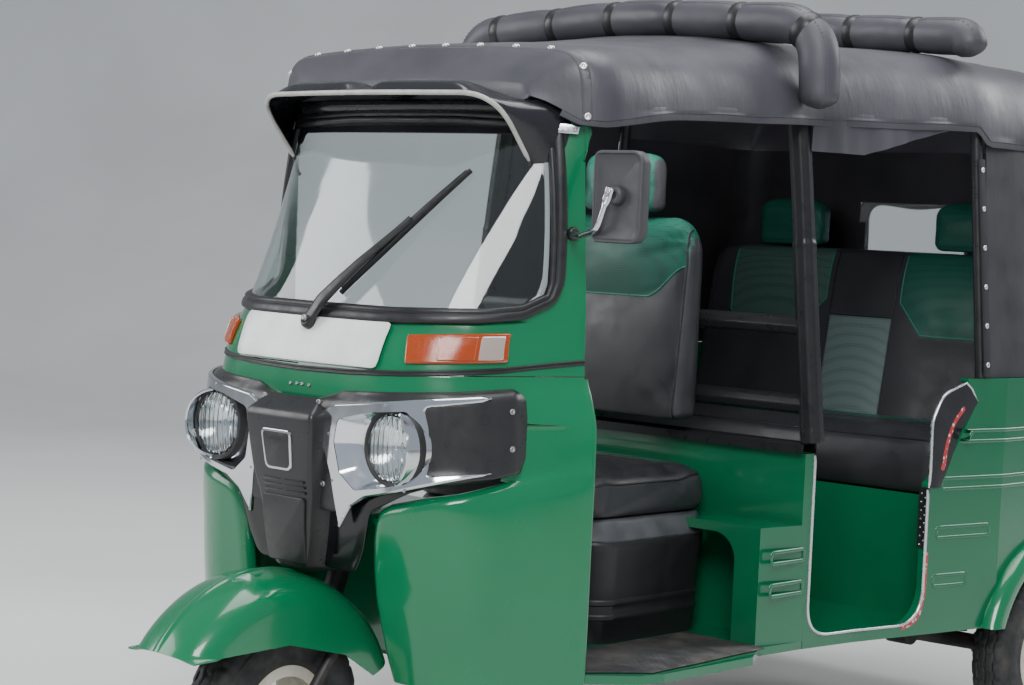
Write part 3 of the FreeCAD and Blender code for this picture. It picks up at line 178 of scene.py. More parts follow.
# Chassis rails, trailing arms, dampers and bumper. Round steel tube, welded, in black enamel that
# road dust has dulled in blotches.


def shader_node(material, kind, **inputs):
    """A node of a material with constants in its inputs; underscores in the names stand for spaces."""
    made = material.node_tree.nodes.new("ShaderNode" + kind)
    for label, value in inputs.items():
        made.inputs[label.replace("_", " ")].default_value = value
    return made


def tuned(material, **inputs):
    """Sets constants of a material's main shader."""
    shader = material.node_tree.nodes["Principled BSDF"]
    for label, value in inputs.items():
        shader.inputs[label.replace("_", " ")].default_value = value
    return shader


def on_object(material, texture, stretch=None):
    """Lays a texture in Object coordinates."""
    link = material.node_tree.links.new
    source = shader_node(material, "TexCoord").outputs["Object"]
    if stretch:
        mapping = shader_node(material, "Mapping", Scale=stretch)
        link(source, mapping.inputs["Vector"])
        source = mapping.outputs["Vector"]
    link(source, texture.inputs["Vector"])
    return texture


def noise(material, size, detail=3.0, stretch=(1.0, 1.0, 1.0)):
    """Noise whose blotches are about this many metres across."""
    texture = shader_node(material, "TexNoise", Scale=1.0 / size, Detail=detail, Roughness=0.55)
    return on_object(material, texture, stretch).outputs["Fac"]


def mottled(material, dark, light, factor, low=0.35, high=0.65):
    """Blends two colours of the piece by a factor between two levels."""
    ramp = shader_node(material, "ValToRGB")
    for element, level, colour in zip(ramp.color_ramp.elements, (low, high), (dark, light)):
        element.position = level
        element.color = (*colour, 1.0)
    material.node_tree.links.new(factor, ramp.inputs["Fac"])
    material.node_tree.links.new(ramp.outputs["Color"], tuned(material).inputs["Base Color"])


def embossed(material, height, depth, strength=1.0):
    """Bump whose full height is this many metres; calls after the first add to it."""
    link, shader = material.node_tree.links.new, tuned(material)
    bump = shader_node(material, "Bump", Strength=strength, Distance=depth)
    if shader.inputs["Normal"].is_linked:
        link(shader.inputs["Normal"].links[0].from_socket, bump.inputs["Normal"])
    link(height, bump.inputs["Height"])
    link(bump.outputs["Normal"], shader.inputs["Normal"])


def finish(name, colour, roughness, metallic=0.0, gloss=(), blotches=(), grain=()):
    """A surface of one colour. gloss is (smoothest, roughest, size of the noise), blotches is (dark,
    light, size, low, high), and each grain is (size, depth, strength)."""
    material = bpy.data.materials.new(name)
    material.use_nodes = True
    tuned(material, Base_Color=(*colour, 1.0), Roughness=roughness, Metallic=metallic)
    if blotches:
        dark, light, size, low, high, *detail = blotches
        mottled(material, dark, light, noise(material, size, *detail), low, high)
    if gloss:
        smooth, rough, *size = gloss
        span = shader_node(material, "MapRange", From_Min=0.3, From_Max=0.7, To_Min=smooth, To_Max=rough)
        material.node_tree.links.new(noise(material, *size), span.inputs["Value"])
        material.node_tree.links.new(span.outputs["Result"], tuned(material).inputs["Roughness"])
    for size, depth, strength in grain:
        embossed(material, noise(material, size), depth, strength)
    return material


def dressed(name, *materials):
    """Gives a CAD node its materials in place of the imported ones."""
    node = nodes[name]
    node.data.materials.clear()
    for material in materials:
        node.data.materials.append(material)
    return node


chassis_enamel = finish("chassis_enamel", (0.015, 0.015, 0.016), 0.45,
                        blotches=((0.012, 0.012, 0.013), (0.07, 0.055, 0.04), 0.12, 0.45, 0.75),
                        gloss=(0.35, 0.8, 0.08), grain=[(0.004, 0.0004, 0.4)])
for name in ("chassis_rails", "trailing_arms", "dampers", "rear_bumper", "fork_arm", "steering_column"):
    dressed(name, chassis_enamel)

engine_cast = finish("engine_cast_alloy", (0.32, 0.32, 0.31), 0.6, 0.8,
                     blotches=((0.10, 0.09, 0.08), (0.38, 0.38, 0.37), 0.05, 0.35, 0.65),
                     grain=[(0.002, 0.0004, 0.6)])
dressed("engine", engine_cast)
silencer_skin = finish("silencer_dark_steel", (0.09, 0.08, 0.07), 0.65, 0.6,
                       blotches=((0.05, 0.045, 0.04), (0.16, 0.10, 0.06), 0.03, 0.35, 0.65))
dressed("silencer", silencer_skin)

# Floor, tunnel, panels and partition: pressed steel welded together and sprayed in one glossy
# green enamel. The enamel is thick, slightly wavy and a little dusty, which dulls its gloss in patches.


def green_enamel(name, colour, dusty):
    enamel = finish(name, colour, 0.16, gloss=(0.14, 0.22 + dusty, 0.09))
    tuned(enamel, Coat_Weight=0.6, Coat_Roughness=0.06, Specular_IOR_Level=0.38)
    mottled(enamel, tuple(0.86 * c for c in colour), colour, noise(enamel, 0.35, 2.0), 0.3, 0.7)
    embossed(enamel, noise(enamel, 0.0016, 2.0), 0.00005, 0.35)
    embossed(enamel, noise(enamel, 0.16, 1.0), 0.0012, 0.25)
    return enamel


bright_green = green_enamel("front_green_enamel", (0.0008, 0.155, 0.058), 0.06)
side_green = green_enamel("side_green_enamel", (0.0008, 0.125, 0.050), 0.03)
for name in ("floor_pan", "steering_tunnel", "partition", "side_panel_left", "side_panel_right", "seat_deck",
             "rear_panel", "engine_door"):
    dressed(name, side_green)

# Leg shield: the lower pressing, from the floor to the seam. Its edge rolls inwards round the
# wheel arch and under the lamp wings, where the black infill shows behind it.


def placed(name, data):
    made = bpy.data.objects.new(name, data)
    bpy.context.collection.objects.link(made)
    return made


def piece(name, points, faces, material, slot_name=None, replaced=(), body="chassis", smooth=True,
          sharp=None):
    """A finished mesh of the vehicle, smooth and riding on its body; sharp also sets its faces
    outwards and keeps edges above that angle."""
    mesh = bpy.data.meshes.new(name)
    mesh.from_pydata([tuple(point) for point in points], [], faces)
    made = placed(name, mesh)
    if smooth:
        mesh.shade_smooth()
    mesh.materials.append(material)
    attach(made, body)
    if replaced:
        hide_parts(*replaced)
    if sharp:
        outward(made).data.set_sharp_from_angle(angle=math.radians(sharp))
    return made


def outward(made):
    """Sets the faces of a closed mesh outwards."""
    shape = bmesh.new()
    shape.from_mesh(made.data)
    bmesh.ops.remove_doubles(shape, verts=shape.verts, dist=0.00005)
    bmesh.ops.recalc_face_normals(shape, faces=shape.faces)
    shape.to_mesh(made.data)
    shape.free()
    return made


def grid_faces(rows, columns, closed=False, start=0):
    """Quads between rows of points laid out one after another."""
    faces = []
    for row in range(rows - 1):
        for column in range(columns if closed else columns - 1):
            ahead = (column + 1) % columns
            faces.append((start + row * columns + column, start + row * columns + ahead,
                          start + (row + 1) * columns + ahead, start + (row + 1) * columns + column))
    return faces


def capped_faces(rows, columns, start=0):
    """Quads of closed rings laid one after another, with both ends shut."""
    last = start + (rows - 1) * columns
    return grid_faces(rows, columns, closed=True, start=start) + [
        tuple(range(start, start + columns))[::-1], tuple(range(last, last + columns))]


def ring_faces(stations, columns):
    """Quads of an open profile carried round a closed ring of stations."""
    last = (stations - 1) * columns
    return grid_faces(stations, columns) + [(last + c, last + c + 1, c + 1, c) for c in range(columns - 1)]


def joined(parts):
    """Several (points, faces) forms as one."""
    points, faces = [], []
    for more, more_faces in parts:
        faces += [tuple(len(points) + index for index in face) for face in more_faces]
        points += more
    return points, faces


def both_halves(points, faces):
    """A form with its mirror image on the other side of the vehicle."""
    return joined([(points, faces), ([Vector((-p.x, p.y, p.z)) for p in points],
                                     [face[::-1] for face in faces])])


def welded(made):
    """Joins the two halves of a mesh where they meet in the middle."""
    weld = bmesh.new()
    weld.from_mesh(made.data)
    bmesh.ops.remove_doubles(weld, verts=weld.verts, dist=0.0002)
    weld.to_mesh(made.data)
    weld.free()
    return made


def thickened(made, wall, offset=-1.0, bevel=0.0, segments=2):
    """Gives a sheet its thickness, and a small round on the edges, as modifiers."""
    solid = made.modifiers.new("wall", "SOLIDIFY")
    solid.thickness = wall
    solid.offset = offset
    solid.use_even_offset = False
    if bevel:
        round_off = made.modifiers.new("edge", "BEVEL")
        round_off.width = bevel
        round_off.segments = segments
        round_off.limit_method = "ANGLE"
        round_off.angle_limit = math.radians(40)
    return made


def settled(made, crease=None):
    """Applies the modifiers, so that the finished mesh is plain."""
    graph = bpy.context.evaluated_depsgraph_get()
    mesh = bpy.data.meshes.new_from_object(made.evaluated_get(graph))
    made.modifiers.clear()
    made.data = mesh
    if crease is not None:
        mesh.set_sharp_from_angle(angle=math.radians(crease))
    return made


# The edge of the shield, from the bottom of the arch up and out under the wing, as (run, height)
SHIELD_EDGE = [(223, 304), (210, 345), (197, 414), (189, 463), (187, 520), (191, 585), (199, 620), (214, 646),
               (242, 660), (278, 669), (361, 691), (437, 707), (505, 719), (560, 728)]
SHIELD_ROLL = 24.0


def to_shield_edge(run, height):
    """Distance from the shield's rolled edge, and how far the roll has faded at its outer end."""
    best, fade = 1e9, 1.0
    for (run_a, height_a), (run_b, height_b) in zip(SHIELD_EDGE, SHIELD_EDGE[1:]):
        along = Vector((run_b - run_a, height_b - height_a))
        share = min(max((Vector((run - run_a, height - height_a)).dot(along)) / along.length_squared, 0), 1)
        gap = math.hypot(run - run_a - share * along.x, height - height_a - share * along.y)
        if gap < best:
            best = gap
            fade = 1.0 - min(max((run_a + share * along.x - 400) / 130, 0), 1)
    return best, fade


def soft_step(value, low, high):
    share = min(max((value - low) / (high - low), 0.0), 1.0)
    return share * share * (3 - 2 * share)


def shield_out(run, height):
    gap, fade = to_shield_edge(run, height)
    crease = 653 + (min(run, 660) - 226) * 0.2
    out = 5.0 * soft_step(crease + 16 - height, 0, 30) * soft_step(run, 230, 420)
    if gap < SHIELD_ROLL and height < 735:
        out -= fade * (SHIELD_ROLL - math.sqrt(SHIELD_ROLL ** 2 - (SHIELD_ROLL - gap) ** 2)) * 0.95
    return out


shield_heights = [304, 310, 322, *range(340, 621, 14), 630, 637, 643, 648, 653, 657, 660, 664, 669, 675, 682,
                  690, 698, 706, 712, 717, 719.5, 722, 727, 733, 740, 748, 757, 768, 780, 795, 810, 825, 836,
                  *range(848, 909, 10), 915, 920]
shield_points = []
COLUMNS = 64
for height in shield_heights:
    if height < 719:
        rows = [(h, r) for r, h in SHIELD_EDGE]
        begin = next(r0 + (r1 - r0) * (height - h0) / (h1 - h0)
                     for (h0, r0), (h1, r1) in zip(rows, rows[1:]) if h0 <= height <= h1)
    elif height < 830:
        begin = 480.0
    else:
        begin = 0.0
    end = shell_run(height)[1][-1]
    near = [0, 1, 3, 6, 10, 15, 20, 26, 33, 42]
    near = [begin + step * min(1.0, (end - begin) / 90) for step in near]
    far = [near[-1] + (end - near[-1]) * step / (COLUMNS - len(near))
           for step in range(1, COLUMNS - len(near) + 1)]
    for run in near + far:
        shield_points.append(shell_point(height, run, shield_out(run, height)))
leg_shield = piece("leg_shield_skin", *both_halves(shield_points, grid_faces(len(shield_heights), COLUMNS)),
                   bright_green, "green_paint", ["leg_shield"])
settled(thickened(welded(leg_shield), 0.003, -1.0, 0.0012), 50)

# Rolled return along the shield's rear edges: a flange that turns in behind the panel
for side, word in ((1, "left"), (-1, "right")):
    flange_points = []
    flange_heights = [304 + step * 12.0 for step in range(52)]
    for height in flange_heights:
        end = shell_run(height)[1][-1]
        edge = shell_point(height, side * end, 0)
        for across, behind in ((0.5, 0.0), (3.0, 1.5), (4.0, 5.0), (3.0, 8.5), (0.0, 9.5), (-22.0, 8.0)):
            flange_points.append(edge + Vector((side * across, behind, 0)) / 1000
                                 - Vector((side * 0.003, 0, 0)))
    faces = grid_faces(len(flange_heights), 6)
    if side < 0:
        faces = [tuple(reversed(face)) for face in faces]
    flange = piece("pillar_flange_low_" + word, flange_points, faces, bright_green, "green_paint")
    settled(thickened(flange, 0.002, 0.0), 40)

# Upper front pressing with both windscreen pillars. It is spot welded to the floor frame and meets
# the leg shield at a seam that a double bead of black rubber covers.
WINDOW_LINE = [  # the panel's opening, as (run, height), from the bottom middle round the left side
    (0, 1026), (200, 1027), (320, 1030), (405, 1038), (462, 1049), (494, 1068), (506, 1092), (502, 1124),
    (472, 1204), (441, 1288), (418, 1350), (402, 1392), (390, 1418), (374, 1430), (346, 1435), (0, 1436),
]


def window_begin(height):
    if height <= 1026 or height >= 1435.5:
        return 0.0
    for (run_a, height_a), (run_b, height_b) in zip(WINDOW_LINE, WINDOW_LINE[1:]):
        if height_a <= height <= height_b:
            return run_a + (run_b - run_a) * (height - height_a) / max(height_b - height_a, 1e-6)
    return 0.0


upper_heights = [922, 926, 934, 944, 955, 967, 980, 993, 1006, 1017, 1025.9, 1027, 1030, 1034, 1038, 1043,
                 1049, 1058, 1068, 1080, 1092, 1108, 1124, 1144, 1164, 1184, 1204, 1225, 1246, 1267, 1288,
                 1309, 1330, 1350, 1371, 1392, 1405, 1418, 1430, 1435, 1435.6, 1446, 1456, 1466, 1477]
upper_points = []
for height in upper_heights:
    begin, end = window_begin(height), shell_run(height)[1][-1]
    for step in range(46):
        upper_points.append(shell_point(height, begin + (end - begin) * step / 45))
upper_panel = piece("upper_panel_skin", *both_halves(upper_points, grid_faces(len(upper_heights), 46)),
                    bright_green, "green_paint", ["front_panel"])
settled(thickened(welded(upper_panel), 0.003, -1.0), 50)


def laid_on_shell(name, path, profile, material, closed=False, slot_name=None, replaced=()):
    """Sweeps a profile of (across, out) pairs along a path of (run, height) pairs on the shell."""
    points = []
    count = len(path)
    for index in range(count):
        before = path[index - 1] if closed or index else path[index]
        after = path[(index + 1) % count] if closed or index < count - 1 else path[index]
        way = Vector((after[0] - before[0], after[1] - before[1])).normalized()
        for across, out in profile:
            points.append(shell_point(path[index][1] + way.x * across, path[index][0] - way.y * across, out))
    faces = ring_faces(count, len(profile)) if closed else grid_faces(count, len(profile))
    return piece(name, points, faces, material, slot_name, replaced)


def rounded_path(corners, spacing=6.0, closed=True):
    """Points along straight lines whose corners are (run, height, radius)."""
    path = []
    count = len(corners)
    for index, (run, height, radius) in enumerate(corners):
        here = Vector((run, height))
        if not closed and index in (0, count - 1):
            path.append(here)
            continue
        back = (Vector(corners[index - 1][:2]) - here)
        ahead = (Vector(corners[(index + 1) % count][:2]) - here)
        turn = math.pi - back.angle(ahead)
        reach = min(radius * math.tan(turn / 2), back.length * 0.49, ahead.length * 0.49)
        start, stop = here + back.normalized() * reach, here + ahead.normalized() * reach
        steps = max(int(turn * radius / 4) + 1, 3)
        for step in range(steps + 1):
            t = step / steps
            path.append(start * (1 - t) ** 2 + here * 2 * t * (1 - t) + stop * t ** 2)
    full = []
    ends = path + [path[0]] if closed else path
    for first, second in zip(ends, ends[1:]):
        steps = max(int((second - first).length / spacing), 1)
        full += [tuple(first.lerp(second, step / steps)) for step in range(steps)]
    if not closed:
        full.append(tuple(path[-1]))
    return full


bead_rubber = finish("seam_bead_rubber", (0.012, 0.012, 0.013), 0.35, gloss=(0.28, 0.5, 0.02))
BEAD_LINE = ((0, 912), (130, 914), (260, 920), (360, 926), (460, 932), (560, 942), (640, 949))
bead_path = []
for step in range(-100, 101):
    run = abs(step) * 6.5
    height = next(a[1] + (b[1] - a[1]) * (run - a[0]) / (b[0] - a[0])
                  for a, b in zip(BEAD_LINE, BEAD_LINE[1:] + ((800, 955),)) if a[0] <= run <= b[0])
    bead_path.append((min(max(step * 6.5, -shell_run(height)[1][-1]), shell_run(height)[1][-1]), height))
BEAD = [(-5.5, 0), (-5.2, 2.4), (-3.6, 3.6), (-1.8, 2.6), (-0.9, 1.0), (0.9, 1.0), (1.8, 2.6), (3.6, 3.6),
        (5.2, 2.4), (5.5, 0)]
laid_on_shell("seam_bead", bead_path, [(-a, o) for a, o in BEAD], bead_rubber, False, "black_rubber")

# Windscreen: laminated glass, held by one thick rubber section that is pushed over the edge of the
# opening. The pane's edge lies inside the section.
SEAL_CORNERS = [(-524, 1066, 46), (-462, 1032, 60), (-380, 1021, 120), (-200, 1014, 300), (200, 1014, 300),
                (380, 1021, 120), (462, 1032, 60), (524, 1066, 46), (521, 1110, 80), (454, 1288, 300),
                (396, 1440, 40), (150, 1450, 300), (-150, 1450, 300), (-396, 1440, 40), (-454, 1288, 300),
                (-521, 1110, 80)]
seal_rubber = finish("windscreen_rubber", (0.010, 0.010, 0.011), 0.4, gloss=(0.30, 0.55, 0.03))
seal_path = rounded_path(SEAL_CORNERS, 9.0)
SEAL_SECTION = [(-1, -2), (-1, 7), (0.5, 9.5), (3, 11), (9, 12), (15, 11.4), (17, 10), (18, 8.4), (19, 8.4),
                (20, 10), (23, 10.6), (27, 9.6), (30, 7), (31, 3), (31, -4)]
laid_on_shell("windscreen_rubber_ring", seal_path, SEAL_SECTION[::-1], seal_rubber, True, "black_rubber",
              replaced=["windscreen_seal"])

# The pane is set in the rubber a little behind the panel's face
pane_points, pane_faces = [], []
PANE_ROWS = 24
pane_rows = [1032 + (1430 - 1032) * step / PANE_ROWS for step in range(PANE_ROWS + 1)]
for height in pane_rows:
    side = min(425 + (height - 1032) * 1.9, 504, 500 - (height - 1120) * 0.385)
    for step in range(31):
        pane_points.append(shell_point(height, side * (step / 15 - 1), -1.5))
clear_pane = finish("windscreen_glass", (0.80, 0.88, 0.86), 0.03, gloss=(0.015, 0.05, 0.12))
tuned(clear_pane, Transmission_Weight=1.0, IOR=1.45, Specular_IOR_Level=0.6)
pane = piece("windscreen_pane", pane_points, grid_faces(PANE_ROWS + 1, 31), clear_pane, "clear_glass",
             ["windscreen"])
settled(thickened(pane, 0.004, -1.0))

# Nose: a black moulded cover of a prow and two wings, screwed over the shield. A glossy infill
# panel behind it closes the front down to the wheel arch.
def grey_plastic(name, shade, smooth, rough, grain):
    """Moulded plastic, faintly grained and unevenly glossy."""
    material = finish(name, (shade, shade, shade * 1.04), rough, gloss=(smooth, rough, 0.03, 6))
    embossed(material, noise(material, grain, 2), 0.0003, 0.25)
    return material


nose_black = grey_plastic("nose_plastic", 0.017, 0.24, 0.42, 0.0016)
gloss_infill = finish("gloss_infill", (0.006, 0.006, 0.007), 0.12, gloss=(0.07, 0.22, 0.05))


def skinned_from(outline_points, out, spacing=14.0, edge_drop=3.0, edge_wide=3.0, back=1.0, side=1, hole=()):
    """Points and faces of a raised plate on the shell, with rounded edges, triangulated inside."""
    count = len(outline_points)
    rings = []
    centre_sign = 1 if sum((b[0] - a[0]) * (b[1] + a[1]) for a, b in
                           zip(outline_points, outline_points[1:] + outline_points[:1])) < 0 else -1
    for inward, share in ((0.0, None), (0.0, 1.0), (edge_wide * 0.3, 0.45), (edge_wide, 0.0)):
        ring = []
        for index in range(count):
            here = Vector(outline_points[index])
            before = (here - Vector(outline_points[index - 1])).normalized()
            after = (Vector(outline_points[(index + 1) % count]) - here).normalized()
            normal = Vector((-(before.y + after.y), before.x + after.x))
            if normal.length < 1e-6:
                normal = Vector((-before.y, before.x))
            normal = normal.normalized() * centre_sign
            ring.append((here + normal * inward, share))
        rings.append(ring)
    inner = [point for point, share in rings[-1]]
    low = Vector((min(p.x for p in inner), min(p.y for p in inner)))
    high = Vector((max(p.x for p in inner), max(p.y for p in inner)))
    fill = []
    rows = int((high.y - low.y) / spacing) + 1
    for row in range(1, rows + 1):
        for column in range(1, int((high.x - low.x) / spacing) + 2):
            point = Vector((low.x + spacing * (column + (0.5 if row % 2 else 0)), low.y + spacing * row))
            if inside_outline(point, inner) and clear_of_edge(point, inner, spacing * 0.45):
                if not hole or not inside_outline(point, hole) and clear_of_edge(point, hole, spacing * 0.45):
                    fill.append(point)
    flat, triangles = delaunay(inner + [Vector(corner) for corner in hole] + fill, len(inner), hole)
    points = []
    for ring in rings:
        for point, share in ring:
            if share is None:
                height_out = back
            else:
                height_out = out(point.x, point.y) - edge_drop * share
            points.append(shell_point(point.y, side * point.x, height_out))
    faces = grid_faces(4, count, closed=True)
    start = 3 * count
    for point in flat[count:]:
        points.append(shell_point(point.y, side * point.x, out(point.x, point.y)))
    for triangle in triangles:
        faces.append(tuple(start + index for index in triangle))
    return points, faces


def inside_outline(point, outline_points):
    inside = False
    for a, b in zip(outline_points, outline_points[1:] + outline_points[:1]):
        if (a[1] > point.y) != (b[1] > point.y):
            crossing = a[0] + (b[0] - a[0]) * (point.y - a[1]) / (b[1] - a[1])
            inside = inside != (point.x < crossing)
    return inside


def clear_of_edge(point, outline_points, least):
    for a, b in zip(outline_points, outline_points[1:] + outline_points[:1]):
        a, b = Vector(a), Vector(b)
        share = min(max((point - a).dot(b - a) / max((b - a).length_squared, 1e-9), 0), 1)
        if (point - a.lerp(b, share)).length < least:
            return False
    return True


def delaunay(points, rim, hole=()):
    """Triangles that fill an outline, leaving its hole open; the outline's own points come first."""
    edges = [(index, (index + 1) % rim) for index in range(rim)]
    edges += [(rim + index, rim + (index + 1) % len(hole)) for index in range(len(hole))]
    flat, made_edges, triangles = delaunay_2d_cdt(points, edges, [list(range(rim))], 1, 1e-4)[:3]
    kept = []
    for triangle in triangles:
        middle = (flat[triangle[0]] + flat[triangle[1]] + flat[triangle[2]]) / 3
        if not hole or not inside_outline(middle, hole):
            kept.append(triangle)
    return flat, kept


def shell_plate(name, outline_points, out, material, slot_name, replaced=(), sides=(1,), **shape):
    """One raised plate on the shell, or the same one on both sides."""
    parts = []
    for side in sides:
        points, faces = skinned_from([tuple(p) for p in outline_points], out, side=side, **shape)
        parts.append((points, [face[::side] for face in faces]))
    made = piece(name, *joined(parts), material, slot_name, replaced)
    made.data.set_sharp_from_angle(angle=math.radians(45))
    return made


WING = rounded_path([(52, 640, 10), (120, 636, 10), (205, 676, 10), (336, 703, 10), (453, 718, 12),
                     (516, 733, 10), (529, 762, 20), (530, 841, 12), (526, 877, 12), (493, 897, 10),
                     (289, 885, 60), (125, 876, 40), (52, 851, 10)], 9.0)

# The lamp's opening, which the wing leaves free
BOWL = rounded_path([(136, 822, 18), (218, 842, 40), (292, 849, 14), (306, 820, 30), (312, 776, 40),
                     (304, 704, 12), (272, 700, 20), (182, 686, 16), (140, 717, 20), (126, 777, 30)], 7.0)


def wing_out(run, height):
    top = 853 + (min(run, 485) - 123) * 0.0845 if run > 123 else 853
    return 3.0 + 20.0 * soft_step(top + 17 - height, 0, 22) * soft_step(531 - run, -1, 42)


shell_plate("nose_wings", WING, wing_out, nose_black, "black_plastic", ["nose_cover"], (1, -1), spacing=11.0,
            edge_drop=2.5, edge_wide=3.0, back=0.4, hole=BOWL)

# The glossy infill below the wings, one pressing with the arch's edge turned in
ARCH_EDGE = rounded_path([(40, 512, 40), (147, 512, 34), (172, 560, 40), (196, 640, 30), (300, 690, 20),
                          (430, 735, 10), (430, 748, 10), (340, 708, 10), (272, 697, 10), (206, 680, 8),
                          (150, 682, 10), (110, 712, 20), (100, 760, 20), (40, 760, 10)], 12.0)
shell_plate("gloss_infill_panel", ARCH_EDGE, lambda run, height: 0.5, gloss_infill, "gloss_black",
            ["nose_infill"], (1, -1), spacing=26.0, edge_drop=1.0, edge_wide=2.0, back=-3.0)

# The prow between the lamps: each row is a height with the face's front edge, half width, the
# side's back edge and half width; the corners are rounded
PROW = (
    (503, 46, 40, 108, 62), (508, 36, 44, 108, 66), (515, 31, 47, 108, 70), (540, 27, 54, 108, 78),
    (586, 19, 66, 108, 92), (600, 16.5, 68, 108, 96), (659, 9, 79, 108, 112), (709, -4, 88, 108, 118),
    (760, -11, 94, 106, 120), (812, -16.5, 99.5, 104, 122), (822, -16, 99, 104, 122),
    (829, -11, 96, 104, 120), (836, -2, 92, 104, 118), (848, 14, 84, 104, 112), (858, 27, 74, 106, 98),
)
prow_points = []
for height, front, half, back, back_half in PROW:
    section = []
    for step in range(9):
        turn = math.radians(90 * step / 8)
        section.append((half - 9 + 9 * math.cos(turn), front + 9 - 9 * math.sin(turn)))
    side_line = [(half + (back_half - half) * share, front + 9 + (back - front - 9) * share)
                 for share in (1.0, 0.75, 0.5, 0.25)]
    row = side_line + section + [(half * share, front - 3.0 * (1 - share * share))
                                 for share in (0.75, 0.5, 0.25, 0.0)]
    full = row + [(-across, behind) for across, behind in reversed(row[:-1])]
    prow_points += [in_frame(across, behind, height) for across, behind in full]
prow = outward(piece("nose_prow", prow_points, grid_faces(len(PROW), len(full)), nose_black, "black_plastic"))
settled(thickened(prow, 0.004, -1.0), 35)

# Raised panel low on the prow, three shut slots above it, and the blank shield with its bright rim


def prow_front(height, across):
    for low, high in zip(PROW, PROW[1:]):
        if low[0] <= height <= high[0]:
            share = (height - low[0]) / (high[0] - low[0])
            return low[1] + (high[1] - low[1]) * share - 3.0
    return PROW[-1][1]


def prow_plate(name, corners, proud, material, slot_name, sink=1.0, edge=2.0, steps=8):
    """A flat plate with rounded edges standing on the prow's face."""
    outline_points = rounded_path(corners, 6.0)
    count = len(outline_points)
    points, faces = [], []
    centre = Vector((sum(p[0] for p in outline_points) / count, sum(p[1] for p in outline_points) / count))
    for inward, lift in ((0, -sink), (0, proud - edge), (edge * 0.3, proud - edge * 0.3), (edge, proud)):
        for point in outline_points:
            here = Vector(point)
            here += (centre - here).normalized() * inward
            points.append(in_frame(here.x, prow_front(here.y, here.x) - lift, here.y))
    faces += grid_faces(4, count, closed=True)
    faces.append(tuple(range(3 * count, 4 * count)))
    return piece(name, points, faces, material, slot_name, sharp=40)


prow_plate("nose_chin",
           [(-62, 655, 8), (66, 655, 8), (60, 592, 8), (56, 520, 10), (-56, 520, 10), (-60, 592, 8)], 3.5,
           nose_black, "black_plastic")
bright_chrome = finish("bright_chrome", (0.62, 0.64, 0.66), 0.08, 1.0, gloss=(0.05, 0.16, 0.02))
prow_plate("badge_rim", [(-46, 790, 12), (44, 790, 12), (41, 708, 16), (-38, 708, 16)], 3.0, bright_chrome,
           "lamp_chrome")
prow_plate("badge_blank", [(-41, 785, 10), (39, 785, 10), (36, 713, 13), (-33, 713, 13)], 3.6, nose_black,
           "black_plastic", edge=1.0)
for slot_number in range(3):
    top = 664 + slot_number * 11
    prow_plate("nose_slot_%d" % (slot_number + 1),
               [(-52, top + 4, 3), (70, top + 4, 3), (70, top - 1, 3), (-52, top - 1, 3)], 1.6, gloss_infill,
               "gloss_black", edge=0.8)

# Headlamps: each a glass lens and a bright reflector in a rubber ring, set in a chromed bezel whose
# two points run out along the wing. Screws hold the bezel.
BEZEL = rounded_path([(66, 820, 14), (126, 851, 22), (303, 872, 60), (421, 880, 8), (445, 876, 2),
                      (422, 869, 8), (320, 857, 10), (331, 820, 30), (335, 787, 30), (334, 720, 8),
                      (454, 731, 2), (433, 722, 8), (336, 701, 30), (208, 675, 30), (168, 652, 14),
                      (149, 627, 10), (133, 606, 2), (114, 708, 40), (91, 773, 40)], 7.0)
shell_plate("lamp_bezel", BEZEL, lambda run, height: 27.0, bright_chrome, "lamp_chrome", ["lamp_bezels"],
            (1, -1), spacing=9.0, edge_drop=4.0, edge_wide=4.0, back=18.0, hole=BOWL)

LAMP_CENTRE = (264, 775)
LENS_BEHIND = 50
gasket_rubber = finish("lamp_rubber", (0.012, 0.012, 0.012), 0.5, gloss=(0.4, 0.6, 0.01))
lens_glass = finish("lamp_lens_glass", (0.93, 0.96, 0.95), 0.03, gloss=(0.02, 0.06, 0.02))
tuned(lens_glass, Transmission_Weight=1.0, IOR=1.5)
flutes = on_object(lens_glass, shader_node(lens_glass, "TexWave", Scale=22.0))
flutes.bands_direction = "X"
embossed(lens_glass, flutes.outputs["Fac"], 0.0018, 0.8)
reflector_chrome = finish("reflector_chrome", (0.75, 0.77, 0.8), 0.12, 1.0, gloss=(0.06, 0.2, 0.03))


def turned(profile, centre, steps=48, arc=(0.0, 360.0)):
    """Points and faces of a profile of (radius, behind) pairs turned about a line along Y."""
    points = []
    full = arc[1] - arc[0] >= 359.9
    stations = steps if full else steps + 1
    for index in range(stations):
        angle = math.radians(arc[0] + (arc[1] - arc[0]) * index / steps)
        for radius, behind in profile:
            points.append(in_frame(centre[0] + radius * math.cos(angle), behind,
                                   centre[1] + radius * math.sin(angle)))
    return points, (ring_faces if full else grid_faces)(stations, len(profile))


def both_lamps(name, points, faces, material, slot_name, replaced=()):
    """The same piece of each lamp as one mesh."""
    return piece(name, *both_halves(points, faces), material, slot_name, replaced, sharp=38)


